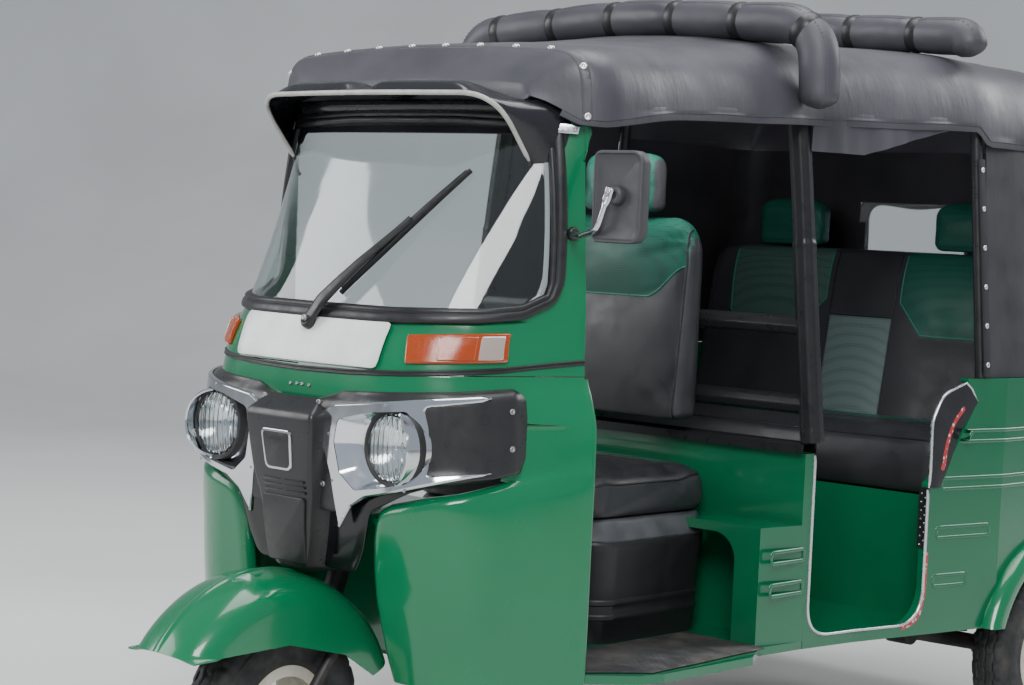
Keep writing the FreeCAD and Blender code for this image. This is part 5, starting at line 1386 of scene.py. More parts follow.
def sleeve_radius(index, angle):
    height = hoop_path[index].z
    flute = 0.7 * math.cos(9 * angle + 0.4 * math.sin(height / 90)) * (1 if height > 766 else 0)
    thick = 26.0 if height < 1206 else 24.6
    for collar in (1206, 790):
        thick += 1.2 * max(1 - abs(height - collar) / 9, 0) ** 0.5
    return thick + flute


bars = [swept_tube(hoop_path, sleeve_radius, 40)]
for height in (1023, 850):
    reach = 524 - (524 - low_side[0]) * (height - 766) / (low_side[2] - 766) - 4
    bar_path = [Vector((-reach + 8.0 * step, 1090, height)) for step in range(int(reach / 4) + 1)]
    bars.append(swept_tube(bar_path, lambda index, angle: 21.2 + 0.6 * math.cos(8 * angle), 48))
piece("padded_hoop", *joined(bars), sleeve_rubber, "padded_vinyl", ["hoop_middle"])
hoop_paint = finish("hoop_paint", (0.014, 0.014, 0.015), 0.35, gloss=(0.25, 0.5, 0.03))
dressed("hoop_rear", hoop_paint)

# Ribbed rubber strip along the top of the partition
strip_points = []
STRIP_RIBS = [(-14, 0), (-14, 20), (-11, 23.4)] + [(-11 + 1.75 * k, 23.9 if k % 2 else 22.6)
                                                   for k in range(1, 26)] + [(34, 22), (36, 18), (36, 0)]
strip_line = [(-514 + 1028 * step / 48) for step in range(49)]
for across in strip_line:
    for behind, rise in STRIP_RIBS:
        strip_points.append(in_frame(across * (1 + 0.004 * (behind + 14) / 50), 1082.5 + behind,
                                     742.2 + rise))
strip = piece("partition_rubber_strip", strip_points, grid_faces(49, len(STRIP_RIBS)), sleeve_rubber,
              "black_rubber", ["partition_strip"])
ends = bmesh.new()
ends.from_mesh(strip.data)
bmesh.ops.holes_fill(ends, edges=[edge for edge in ends.edges if edge.is_boundary])
bmesh.ops.recalc_face_normals(ends, faces=ends.faces)
ends.to_mesh(strip.data)
ends.free()
strip.data.set_sharp_from_angle(angle=math.radians(40))

# Curtains: the cover's lower cloth. One closes the right side from the middle hoop to the rear one,
# the other wraps the back, with a clear window that is welded in.
CURTAIN_ROWS = ((905.6, 598, 612, 2293), (1000, 592, 606, 2292), (1466, 560, 572, 2287))


def curtain_line(height, inset, top=1466.0):
    """Half of the rear curtain's plan at one height, from its front edge round to the back's middle."""
    front_across, across, back = eased(CURTAIN_ROWS, height)
    turn = 90 - inset
    across, front_across, back = across - inset, front_across - inset, back - inset
    line = [Vector((front_across + (across - front_across) * step / 6, 1692 + (1820 - 1692) * step / 6))
            for step in range(6)]
    line += [Vector((across, 1820 + (back - turn - 1820) * step / 16)) for step in range(16)]
    line += [Vector((across - turn + turn * math.cos(math.radians(9 * step)),
                     back - turn + turn * math.sin(math.radians(9 * step))))
             for step in range(11)]
    line += [Vector(((across - turn) * (1 - step / 24), back)) for step in range(1, 25)]
    return line


curtain_points = []
curtain_heights = [906 + 560 * step / 40 for step in range(41)]
for height in curtain_heights:
    half = curtain_line(height, 1.0)
    full = half + [Vector((-p.x, p.y)) for p in reversed(half[:-1])]
    share = (height - 906) / 560
    for index, spot in enumerate(full):
        ahead = full[min(index + 1, len(full) - 1)] - full[max(index - 1, 0)]
        normal = Vector((ahead.y, -ahead.x)).normalized()
        if normal.dot(spot - Vector((0, 1900))) < 0:
            normal = -normal
        clear = max((abs(spot.x) - 200) / 60, abs(height - 1230) / 60 - 2.2)
        calm = soft_step(clear, 0, 1) if spot.y > 2200 else 1
        folds = blender_noise.noise(Vector((spot.x / 90, spot.y / 90, height / 260)))
        wave = 2.4 * calm * math.sin(math.pi * share) * folds
        spot = spot + normal * (wave - 1.2 * math.sin(math.pi * share))
        curtain_points.append(in_frame(spot.x, spot.y, height))
width = len(curtain_points) // len(curtain_heights)
curtain_faces = []
for face in grid_faces(len(curtain_heights), width):
    middle = sum((curtain_points[index] for index in face), Vector()) / 4
    if middle.y > 1.2 and abs(middle.x) < 0.176 and 1.13 < middle.z < 1.33:
        continue
    curtain_faces.append(face)
curtain_vinyl = finish("curtain_vinyl", (0.022, 0.021, 0.024), 0.5,
                       blotches=((0.016, 0.016, 0.018), (0.034, 0.033, 0.037), 0.2, 0.3, 0.7),
                       gloss=(0.35, 0.6, 0.1))
embossed(curtain_vinyl, noise(curtain_vinyl, 0.0022, 3), 0.0004, 0.35)
embossed(curtain_vinyl, noise(curtain_vinyl, 0.06, 3, stretch=(2, 2, 0.6)), 0.004, 0.25)
rear_cloth = piece("rear_curtain_cloth", curtain_points, curtain_faces, curtain_vinyl, "hood_vinyl",
                   ["rear_curtain"])
settled(thickened(rear_cloth, 0.0035, -1.0), 60)
window_film = finish("window_film", (0.85, 0.88, 0.90), 0.08, gloss=(0.05, 0.2, 0.08))
tuned(window_film, Transmission_Weight=0.9, IOR=1.2)
embossed(window_film, noise(window_film, 0.09, 2), 0.004, 0.4)
dressed("rear_window", window_film)
window_rim = []
rim_path = rounded_path([(-182, 1124, 60), (182, 1124, 60), (182, 1336, 60), (-182, 1336, 60)], 10.0)
for x, z in rim_path:
    back = eased(CURTAIN_ROWS, z)[2] - FRONT_AXLE
    centre_way = Vector((-x, 1230 - z)).normalized()
    for across, out in ((-12, -5.0), (-12, 2.6), (-8, 4.0), (2, 4.6), (18, 4.0), (26, 2.6), (26, -5.0)):
        window_rim.append(Vector((x + centre_way.x * across, back - 1.5 + out,
                                  z + centre_way.y * across)) / 1000)
outward(piece("window_welt", window_rim, ring_faces(len(rim_path), 7), curtain_vinyl, "hood_vinyl"))

side_points = []
for row in range(31):
    share = row / 30
    height = 905.6 + (1512 - 905.6) * share
    for step in range(41):
        along = step / 40
        behind = 1122 + (1652 - 1122) * along
        across = (512 + (590 - 512) * along) * (1 - share) + (476 + (551 - 476) * along) * share
        folds = math.sin(behind / 34.0) * 0.6 + blender_noise.noise(Vector((behind / 60, height / 220, 3)))
        wave = 3.0 * math.sin(math.pi * share) * folds
        side_points.append(in_frame(-(across + wave - 3.0), behind, height))
side_cloth = piece("side_curtain_cloth", side_points, grid_faces(31, 41), curtain_vinyl, "hood_vinyl",
                   ["side_curtain"])
settled(thickened(side_cloth, 0.0025, 0.0), 60)


# Sun visor: a black hood moulded in one piece with two shallow bulges. A cream bead is pushed on its
# front edge, and both ends come back to the pillars, where a bright clip and a hook hold them.
visor_black = finish("visor_gloss_black", (0.013, 0.013, 0.016), 0.22, gloss=(0.14, 0.32, 0.06),
                     grain=[(0.12, 0.003, 0.2)])
VISOR_STEPS, VISOR_ROWS = 96, 16


def evenly(path, count):
    return [path[round(index * (len(path) - 1) / count)] for index in range(count + 1)]


rim_path = evenly(rounded_line([(352, 314, 1343, 0), (354, 200, 1474, 92), (0, 146, 1474, 1500),
                                (-354, 200, 1474, 92), (-352, 314, 1343, 0)], 1.5), VISOR_STEPS)
back_path = evenly(rounded_line([(412, 378, 1352, 0), (404, 368, 1470, 50), (0, 318, 1472, 1500),
                                 (-404, 368, 1470, 50), (-412, 378, 1352, 0)], 1.5), VISOR_STEPS)
visor_points = []
for row in range(VISOR_ROWS + 1):
    share = row / VISOR_ROWS
    for near, far in zip(rim_path, back_path):
        spot = near.lerp(far, share)
        across = abs(spot.x)
        bulge = math.sin(math.pi * share ** 0.55) ** 0.9
        lift = 27 * bulge * soft_step(across, 8, 60) * (1 - soft_step(across, 230, 320))
        swell = 9 * bulge * soft_step(across, 300, 350)
        spot = spot + Vector((math.copysign(swell, spot.x), 0, lift))
        visor_points.append(in_frame(*spot))
visor = piece("sun_visor_hood", visor_points, grid_faces(VISOR_ROWS + 1, VISOR_STEPS + 1), visor_black,
              "gloss_black", ["sun_visor"])
settled(thickened(visor, 0.003, 0.0), 60)
cream_bead = finish("visor_cream_bead", (0.50, 0.48, 0.42), 0.35,
                    blotches=((0.34, 0.335, 0.31), (0.46, 0.455, 0.43), 0.03, 0.35, 0.65),
                    gloss=(0.25, 0.45, 0.02))
points, faces = swept_tube(rim_path,
                           lambda index, angle: 5.2 * min(1.0, 0.4 + min(index, VISOR_STEPS - index) / 3), 14)
outward(piece("visor_bead", points, faces, cream_bead, "gloss_black"))
hooks = []
for side in (1, -1):
    hook_path = rounded_line([(side * 352, 311, 1348, 0), (side * 353, 322, 1322, 10),
                              (side * 347, 322, 1308, 8), (side * 336, 316, 1309, 0)], 1.5)
    hooks.append(swept_tube(hook_path, lambda index, angle: 4.2, 10))
roll_path_low = rounded_line([(330, 322, 1452, 0), (240, 300, 1456, 200), (0, 296, 1457, 900),
                              (-240, 300, 1456, 200), (-330, 322, 1452, 0)], 6.0)
hooks.append(swept_tube(roll_path_low, lambda index, angle: 12.5, 18))
outward(piece("visor_hooks_and_bar", *joined(hooks), visor_black, "gloss_black"))

# Black band printed round the top of the glass, with a rounded tab at its right end
band = [(-372, 1448, 2), (372, 1448, 2), (388, 1400, 8), (0, 1399, 300), (-318, 1399, 12), (-318, 1376, 12),
        (-352, 1372, 12), (-392, 1392, 8)]
shell_plate("glass_top_band", rounded_path(band, 10.0), lambda run, height: -0.2, visor_black, "gloss_black",
            (), (1,), spacing=14.0, edge_drop=0.4, edge_wide=1.0, back=-0.8)


def laid_bar(name, stations, material, slot_name, replaced=()):
    """A bar over the shell; each station is (run, height, out, half width, thickness)."""
    points = []
    for index, (run, height, out, half, thick) in enumerate(stations):
        before, after = stations[max(index - 1, 0)], stations[min(index + 1, len(stations) - 1)]
        way = Vector((after[0] - before[0], after[1] - before[1])).normalized()
        for across, rise in ((-1, 0), (-1, 0.6), (-0.8, 0.9), (-0.4, 1), (0.4, 1), (0.8, 0.9), (1, 0.6),
                             (1, 0)):
            points.append(shell_point(height + way.x * across * half, run - way.y * across * half,
                                      out + rise * thick))
    return piece(name, points, capped_faces(len(stations), 8), material, slot_name, replaced, sharp=50)


clip_steel = finish("bright_clip_steel", (0.62, 0.63, 0.64), 0.22, 1.0, gloss=(0.15, 0.35, 0.012))
for side, word in ((1, "left"), (-1, "right")):
    laid_bar("visor_clip_" + word,
             [(side * (374 + 6 * step), 1413, 13 - 0.3 * step, 9.5, 2.2) for step in range(12)], clip_steel,
             "lamp_chrome")
repeated_head("clip_rivets", shell_spots([(432, 1413)], 13.0), 0.0045, 0.0022)

# Windscreen wiper: a pivot on the rubber, a pressed arm with folded sides and a rubber blade held
# by a carrier. It parks across the glass.
wiper_black = finish("wiper_black_enamel", (0.011, 0.011, 0.012), 0.35, gloss=(0.25, 0.5, 0.02))


def wiper_stations(start, stop, count, out, half, thick):
    made = []
    for step in range(count + 1):
        share = start + (stop - start) * step / count
        part = step / count
        made.append((2 + 246 * share, 1000 + 322 * share, out(part), half(part), thick(part)))
    return made


arm_line = wiper_stations(0.0, 0.66, 26, lambda p: 16 + 10 * soft_step(p, 0, 0.2) - 8 * soft_step(p, 0.5, 1),
                          lambda p: 15 - 7.5 * soft_step(p, 0.05, 0.9), lambda p: 9 - 3 * p)
laid_bar("wiper_arm", arm_line, wiper_black, "black_plastic", ["wiper"])
carrier_line = wiper_stations(0.22, 0.985, 30, lambda p: 9 + 3.5 * math.sin(math.pi * p),
                              lambda p: 7.5 - 3.6 * abs(2 * p - 1), lambda p: 4.5)
laid_bar("wiper_carrier", carrier_line, wiper_black, "black_plastic")
laid_bar("wiper_rubber", wiper_stations(0.20, 1.0, 30, lambda p: 0.4, lambda p: 3.4, lambda p: 9.5),
         bead_rubber, "black_rubber")
pivot = shell_point(1001, 2, 10)
pivot_way = (shell_point(1001, 2, 20) - pivot).normalized()
repeated_head("wiper_pivot", [(pivot, pivot_way)], 0.016, 0.016, wiper_black, sides=12)
repeated_head("wiper_nut", [(shell_point(1003, 4, 25), pivot_way)], 0.0075, 0.009, sides=6)

# Mirror: a dished plastic shell with rounded corners round the glass, on a bent chrome arm. The
# arm stands in a rubber foot on the pillar and ends in a flat eye with one bolt.
mirror_shell = finish("mirror_grained_black", (0.040, 0.040, 0.043), 0.5, gloss=(0.4, 0.6, 0.03),
                      grain=[(0.0012, 0.0002, 0.5)])


def stepped_plate(name, centre, half, corners, steps, material, slot_name, replaced=()):
    """Rounded upright rectangles one behind another: half is (across, up), corners the radii of the
    left and right ones, and each step is (inset, behind)."""
    points, per = [], 9
    for inset, behind in steps:
        across, up = half[0] - inset, half[1] - inset
        for right, top, start in ((1, 1, 0), (-1, 1, 90), (-1, -1, 180), (1, -1, 270)):
            turn = max(min(corners[0 if right > 0 else 1] - inset, across, up), 0.6)
            for step in range(per):
                angle = math.radians(start + 90 * step / (per - 1))
                points.append(in_frame(centre[0] + right * (across - turn) + turn * math.cos(angle), behind,
                                       centre[1] + top * (up - turn) + turn * math.sin(angle)))
    return piece(name, points, capped_faces(len(steps), 4 * per), material, slot_name, replaced, sharp=35)


stepped_plate("mirror_shell_back", (581.5, 1281.5), (62.5, 89.5), (26, 16),
              [(56, 321), (40, 320.5), (24, 319), (10, 316), (6.5, 314), (5.5, 312), (2, 312), (0.4, 314),
               (0, 317), (0.5, 333), (1.5, 336), (5, 337)], mirror_shell, "mirror_black", ["mirror"])
mirror_glass = finish("mirror_silvered_glass", (0.78, 0.80, 0.82), 0.04, 1.0, gloss=(0.02, 0.06, 0.08))
stepped_plate("mirror_pane", (581.5, 1281.5), (57, 84), (21, 12), [(1, 335), (0, 337), (0, 338), (2, 338.6)],
              mirror_glass, "lamp_chrome")
arm_path = rounded_line([(414, 366, 1206, 0), (480, 330, 1203, 34), (544, 303, 1216, 40),
                         (574, 302, 1298, 0)], 2.0)
arm_last = len(arm_path) - 1


def arm_radius(index, angle):
    flat = soft_step(index, arm_last - 20, arm_last - 12)
    return (6.3 * (1 - flat) + flat * math.hypot(10.5 * math.cos(angle), 3.2 * math.sin(angle)))


outward(piece("mirror_arm", *swept_tube(arm_path, arm_radius, 20), bright_chrome, "lamp_chrome"))
repeated_head("mirror_bolt", [(in_frame(569, 298.5, 1286), Vector((0, -1, 0)))], 0.006, 0.005, sides=6)
repeated_head("mirror_boss", [(in_frame(579, 318, 1284), Vector((0, -1, 0)))], 0.019, 0.015, mirror_shell)
repeated_head("mirror_foot",
              [(shell_point(1206, 500, 0),
                (shell_point(1206, 500, 9) - shell_point(1206, 500, 0)).normalized())],
              0.014, 0.013, bead_rubber)

# Pressed lines and trim of the rear body's sides: long swages, a bright bead down the entry edge, and
# reflective tape on the plate behind it.
side_trees = {}
for word, sign in (("left", 1), ("right", -1)):
    panel = nodes["side_panel_" + word]
    side_trees[sign] = BVHTree.FromPolygons([panel.matrix_world @ v.co for v in panel.data.vertices],
                                            [tuple(f.vertices) for f in panel.data.polygons])


def on_side(sign, behind, height, out=0.0):
    """A point on the outer face of a side panel, or where that face would run on."""
    start = Vector((sign * 0.9, (behind - FRONT_AXLE) / 1000, height / 1000))
    hit = side_trees[sign].ray_cast(start, Vector((-sign, 0, 0)))[0]
    across = abs(hit.x) * 1000 if hit is not None and abs(hit.x) > 0.45 else 620
    return in_frame(sign * (across + out), behind, height)


def side_strip(name, lines, wide, proud, material, slot_name, signs=(1, -1), face=on_side):
    """Raised strips on the body's sides along (behind, height) lines, rounded across and at the ends."""
    points, faces = [], []
    for sign in signs:
        for line in lines:
            start = len(points)
            for index, (behind, height) in enumerate(line):
                before, after = line[max(index - 1, 0)], line[min(index + 1, len(line) - 1)]
                way = Vector((after[0] - before[0], after[1] - before[1])).normalized()
                end = min(1.0, 0.25 + 0.75 * min(index, len(line) - 1 - index) / 2)
                for across, rise in ((-0.5, -0.3), (-0.45, 0.35), (-0.3, 0.8), (0, 1), (0.3, 0.8),
                                     (0.45, 0.35), (0.5, -0.3)):
                    points.append(face(sign, behind - way.y * across * wide, height + way.x * across * wide,
                                       proud * (rise if rise < 0 else rise * end)))
            faces += [face[::-1] if sign < 0 else face for face in grid_faces(len(line), 7, start=start)]
    return piece(name, points, faces, material, slot_name)


def straight(first, last, spacing=8.0):
    first, last = Vector(first), Vector(last)
    steps = max(int((last - first).length / spacing), 3)
    return [tuple(first.lerp(last, step / steps)) for step in range(steps + 1)]


def pressed_frame(first, last, low, high):
    frame = rounded_path([(first, low, 7), (last, low, 7), (last, high, 7), (first, high, 7)], 9.0)
    return frame + frame[:1]


swages = [pressed_frame(1596, 2284, 756, 781), pressed_frame(1540, 2284, 645, 670),
          pressed_frame(1532, 1712, 530, 555), pressed_frame(1528, 1640, 416, 441)]
side_strip("side_swages", swages, 9, 2.2, side_green, "green_paint")
side_strip("box_swages", [pressed_frame(974, 1094, 505, 530), pressed_frame(974, 1094, 433, 458)], 9, 2.2,
           side_green, "green_paint",
           face=lambda sign, behind, height, out: in_frame(sign * (514 + out), behind, height))
bead_steel = finish("bright_bead_steel", (0.66, 0.67, 0.68), 0.25, 1.0, gloss=(0.18, 0.4, 0.015))


def trim_face(sign, behind, height, out):
    """The plane that the trim lies in: the panel's width there, held on past its edges."""
    across = abs(on_side(sign, min(max(behind, 1120), 2280), 318).x) * 1000
    return in_frame(sign * (across + out), behind, height)


edge = rounded_path([(1116, 738, 0), (1116, 331, 76), (1496, 331, 86), (1496, 646, 0)], 7.0, closed=False)
side_strip("entry_bead", [edge], 7, 4.0, bead_steel, "lamp_chrome", (1,), trim_face)

# The corner behind the entry carries a black plate with a bright bead round its front and top
plate_near = rounded_path([(1500, 650, 0), (1497, 806, 60), (1528, 868, 60), (1604, 895, 0)], 8.0,
                          closed=False)
plate_far = rounded_path([(1534, 650, 0), (1562, 706, 60), (1590, 776, 60), (1648, 850, 0)], 8.0,
                         closed=False)
plate_near, plate_far = evenly(plate_near, 20), evenly(plate_far, 20)
plate_points = []
for near, far in zip(plate_near, plate_far):
    for part in range(7):
        spot = Vector(near).lerp(Vector(far), part / 6)
        plate_points.append(trim_face(1, spot.x, spot.y, 1.2 + 1.2 * math.sin(math.pi * part / 6)))
plate = piece("entry_corner_plate", plate_points, grid_faces(21, 7), visor_black, "gloss_black")
outward(plate)
settled(thickened(plate, 0.0016, 0.0), 40)
side_strip("corner_bead", [[tuple(spot) for spot in plate_near] + [(1626, 880), (1648, 850)]], 6, 5.0,
           bead_steel, "lamp_chrome", (1,), trim_face)
tape = finish("reflective_tape", (0.45, 0.03, 0.03), 0.3, gloss=(0.18, 0.4, 0.006))
cells = on_object(tape, shader_node(tape, "TexVoronoi", Scale=90.0))
mottled(tape, (0.55, 0.52, 0.50), (0.42, 0.03, 0.03), cells.outputs["Distance"], 0.25, 0.42)
tape_line = [tuple((Vector(near) + Vector(far) * 2) / 3) for near, far in zip(plate_near, plate_far)][1:-1]
side_strip("reflective_tape_strip", [tape_line], 30, 3.4, tape, None, (1,), trim_face)
foot_line = rounded_path([(1430, 326, 0), (1484, 340, 60), (1500, 400, 80), (1501, 500, 0)], 7.0,
                         closed=False)
side_strip("reflective_tape_foot", [foot_line], 15, 1.2, tape, None, (1,), trim_face)
dotted = finish("dotted_black_strip", (0.012, 0.012, 0.013), 0.35, gloss=(0.3, 0.45, 0.02))
jamb_points = []
for step in range(21):
    for across, ahead in ((1.5, 0), (0, -2.2), (-12, -2.4), (-24, -2.2), (-25.5, 0)):
        jamb_points.append(trim_face(1, 1499, 508 + 142 * step / 20, across) + Vector((0, ahead / 1000, 0)))
jamb = outward(piece("entry_jamb_strip", jamb_points, grid_faces(21, 5), dotted, "black_plastic"))
settled(thickened(jamb, 0.0012, 0.0), 40)
dots = [(trim_face(1, 1499, 516 + 10 * step, -7 if step % 2 else -17) + Vector((0, -0.0026, 0)),
         Vector((0, -1, 0))) for step in range(13)]
repeated_head("jamb_studs", dots, 0.0024, 0.0012, bead_steel, sides=12)

# Black strip with studs that clamps the curtain to the rear hoop on each side
strap_points, strap_faces, strap_studs = [], [], []
for sign in (1, -1):
    start = len(strap_points)
    for step in range(49):
        share = step / 48
        centre = Vector((609 - 46 * share + 3.6, 1666 - 4 * share, 912 + 512 * share))
        for across, rise in ((-15, -2), (-15, 1.2), (-12, 2.2), (12, 2.2), (15, 1.2), (15, -2)):
            strap_points.append(in_frame(sign * (centre.x + rise), centre.y + across, centre.z))
    strap_faces += [face[::-1] if sign < 0 else face for face in grid_faces(49, 6, start=start)]
    for number in range(6):
        share = 0.05 + 0.9 * number / 5
        strap_studs.append((in_frame(sign * (609 - 46 * share + 5.6), 1666 - 4 * share, 912 + 512 * share),
                            Vector((sign, 0, 0.09)).normalized()))
strap = piece("curtain_clamp_strips", strap_points, strap_faces, dotted, "black_plastic")
settled(thickened(strap, 0.0015, -1.0), 40)
repeated_head("clamp_studs", strap_studs, 0.0065, 0.004, bead_steel)

# Seats: foam pads in sewn vinyl. Black covers the sides, bolsters and cushions; the yokes and the
# headrests are green and the bench's middle is pale, both pierced with fine holes. The seams are piped.
# The bench's right yoke is mixed lighter and partly pale as a painted sheen.


def seat_cover(name):
    """Vinyl that is black, with green and pale pierced panels where the mesh says so; the pale share also
    carries a painted sheen.
    """
    cover = finish(name, (0.020, 0.020, 0.022), 0.42, gloss=(0.28, 0.52, 0.06, 4))
    link = cover.node_tree.links.new

    def mixed(factor, first, second):
        layer = shader_node(cover, "Mix")
        layer.data_type = "RGBA"
        link(factor, layer.inputs["Factor"])
        if isinstance(first, tuple):
            layer.inputs["A"].default_value = first
        else:
            link(first, layer.inputs["A"])
        layer.inputs["B"].default_value = second
        return layer.outputs["Result"]

    def worked(operation, first, second):
        step = shader_node(cover, "Math")
        step.operation = operation
        step.use_clamp = operation == "ADD"
        link(first, step.inputs[0])
        if isinstance(second, float):
            step.inputs[1].default_value = second
        else:
            link(second, step.inputs[1])
        return step.outputs[0]

    panels = []
    for label in ("green_panel", "pale_panel_and_sheen"):
        panel = shader_node(cover, "Attribute")
        panel.attribute_name = label
        panels.append(panel.outputs["Fac"])
    colour = mixed(noise(cover, 0.12, 4), (0.013, 0.013, 0.015, 1), (0.036, 0.036, 0.040, 1))
    for panel, paint in zip(panels, ((0.008, 0.070, 0.048, 1), (0.105, 0.150, 0.142, 1))):
        colour = mixed(panel, colour, paint)
    holes = on_object(cover, shader_node(cover, "TexVoronoi", Scale=170.0, Randomness=0.12))
    mask = worked("MULTIPLY", worked("LESS_THAN", holes.outputs["Distance"], 0.27), worked("ADD", *panels))
    link(mixed(mask, colour, (0.004, 0.012, 0.010, 1)), tuned(cover).inputs["Base Color"])
    embossed(cover, noise(cover, 0.0018, 3), 0.0004, 0.4)
    embossed(cover, noise(cover, 0.035, 3), 0.0016, 0.25)
    return cover


seat_vinyl = seat_cover("seat_vinyl")


def ring_stack(rings, count=56):
    """Points and faces of a closed form from rounded level rings, each given by its height, half width,
    front, back and corner."""
    points = []
    for height, half, front, back, corner in rings:
        corner = min(corner, half * 0.98, (back - front) * 0.49)
        ring = []
        for cx, cy, start in ((half - corner, back - corner, 0), (-half + corner, back - corner, 90),
                              (-half + corner, front + corner, 180), (half - corner, front + corner, 270)):
            for step in range(count // 4):
                turn = math.radians(start + 90 * step / (count // 4 - 1))
                ring.append(in_frame(cx + corner * math.cos(turn), cy + corner * math.sin(turn), height))
        points += ring
    count = len(points) // len(rings)
    return points, capped_faces(len(rings), count)


def swollen(name, points, faces, voxel, cap, held, replaced=()):
    """A stuffed piece: the form is remeshed, blown up as cloth from inside and then fixed. held says
    which points the stitching or the base keeps in place."""
    made = outward(piece(name, points, faces, seat_vinyl, "seat_vinyl", replaced))
    even = made.modifiers.new("even", "REMESH")
    even.mode = "VOXEL"
    even.voxel_size = voxel
    settled(made)
    start = [vertex.co.copy() for vertex in made.data.vertices]
    group = made.vertex_groups.new(name="held")
    group.add([index for index, spot in enumerate(start)
               if held(spot * 1000 + Vector((0, FRONT_AXLE, 0)))], 1.0, "REPLACE")
    cloth = made.modifiers.new("swell", "CLOTH")
    for setting, value in (("quality", 4), ("mass", 0.3), ("tension_stiffness", 12),
                           ("compression_stiffness", 12), ("bending_stiffness", 0.6),
                           ("use_pressure", True), ("uniform_pressure_force", 4.0),
                           ("vertex_group_mass", "held")):
        setattr(cloth.settings, setting, value)
    cloth.settings.effector_weights.gravity = 0.0
    cloth.collision_settings.use_collision = False
    cloth.point_cache.frame_start, cloth.point_cache.frame_end = 1, 20
    for step in range(1, 21):
        bpy.context.scene.frame_set(step)
    blown = made.evaluated_get(bpy.context.evaluated_depsgraph_get()).to_mesh()
    moved = [vertex.co.copy() for vertex in blown.vertices]
    made.modifiers.clear()
    bpy.context.scene.frame_set(1)
    for index, vertex in enumerate(made.data.vertices):
        shift = moved[index] - start[index]
        if shift.length > cap / 1000:
            shift = shift.normalized() * cap / 1000
        vertex.co = start[index] + shift
    made.vertex_groups.clear()
    finer = made.modifiers.new("finer", "SUBSURF")
    finer.levels = finer.render_levels = 1
    settled(made)
    made.data.shade_smooth()
    return made


def panelled(made, green, pale):
    """Marks the coloured panels of a seat; green and pale say how far a point is inside one. The pale share
    also carries painted sheen.
    """
    for label, wanted in (("green_panel", green), ("pale_panel_and_sheen", pale)):
        values = made.data.attributes.new(label, "FLOAT", "POINT")
        values.data.foreach_set("value", [wanted(v.co.x * 1000, v.co.y * 1000 + FRONT_AXLE, v.co.z * 1000)
                                          for v in made.data.vertices])


def piped(name, target, lines, radius, material, way=(0, 1, 0), sink=0.35):
    """Piping along lines of (x, behind, height) points, laid on the face of a seat that way points into."""
    tree = BVHTree.FromObject(target, bpy.context.evaluated_depsgraph_get())
    way = Vector(way)
    all_points, all_faces = [], []
    for line in lines:
        spots = []
        for spot in line:
            start = in_frame(spot[0], spot[1], spot[2]) - way * 0.25
            hit, normal, index, distance = tree.ray_cast(start, way)
            if hit is not None:
                spots.append((hit + normal * radius * sink / 1000, normal))
        if len(spots) < 3:
            continue
        for index, (spot, normal) in enumerate(spots):
            ahead = (spots[min(index + 1, len(spots) - 1)][0] - spots[max(index - 1, 0)][0]).normalized()
            side = ahead.cross(normal).normalized()
            for corner in range(8):
                turn = 2 * math.pi * corner / 8
                all_points.append(spot + (side * math.cos(turn) + normal * math.sin(turn)) * radius / 1000)
        start_index = len(all_points) - 8 * len(spots)
        all_faces += capped_faces(len(spots), 8, start_index)
    return outward(piece(name, all_points, all_faces, material, "seat_vinyl"))


def between(corners, spacing=6.0):
    """Points (x, behind, height) along straight lines between corners."""
    path = []
    for a, b in zip(corners, corners[1:]):
        a, b = Vector(a), Vector(b)
        steps = max(int((b - a).length / spacing), 1)
        path += [a.lerp(b, step / steps) for step in range(steps)]
    return path + [Vector(corners[-1])]


# Driver's cushion and its moulded base
rise = [(0, 24), (3, 12), (10, 4), (22, 0), (50, 0), (74, 3), (86, 9), (94, 18), (99, 34), (102, 60),
        (104, 110), (105, 180)]
rings = [(593 + high * 0.955, 283 - inward, 635 + inward, 1053 - inward, max(56 - inward * 0.2, 10))
         for high, inward in rise]
points, faces = ring_stack(rings, 72)


def cushion_held(p):
    """The cushion is fixed to its base and nipped in by the seam round its middle."""
    return p.z < 600 or abs(p.z - 676) < 4 and min(283 - abs(p.x), p.y - 635, 1053 - p.y) < 9


driver_cushion = swollen("driver_cushion_pad", points, faces, 0.0084, 8.0, cushion_held, ["driver_cushion"])
panelled(driver_cushion,
         lambda x, y, z: soft_step(y, 925, 931) * soft_step(200 - abs(x), 0, 6) * (1 if z > 660 else 0),
         lambda x, y, z: 0.0)
piping_black = finish("black_piping", (0.012, 0.012, 0.013), 0.35, gloss=(0.25, 0.45, 0.01))
edge_line = rounded_path([(-270, 648, 50), (270, 648, 50), (270, 1040, 50), (-270, 1040, 50)], 8.0)
piped("driver_cushion_piping", driver_cushion,
      [[(x, y, 700) for x, y in edge_line + edge_line[:1]], between([(-200, 928, 700), (200, 928, 700)])],
      2.2, piping_black, (0, 0, -1))

# Driver's backrest leans back and narrows at the top; its headrest is part of it
def leaning(height):
    return 961.5 + (height - 790) * 44 / 472


rings = []
for height, inward in ((793, 16), (797, 8), (806, 2), (820, 0), (900, 0), (980, 0), (1060, 0), (1130, 0),
                       (1180, 2), (1205, 7), (1225, 15), (1240, 25), (1250, 38), (1256, 56)):
    narrow = inward * 1.4 if height > 1150 else inward
    rings.append((height, 230 - narrow, leaning(height) + 5 + inward * 0.5, 1064 - inward * 0.3, 34))
points, faces = ring_stack(rings, 72)


def yoke_line(across):
    return 1069 + 75 * soft_step(abs(across), 110, 222)


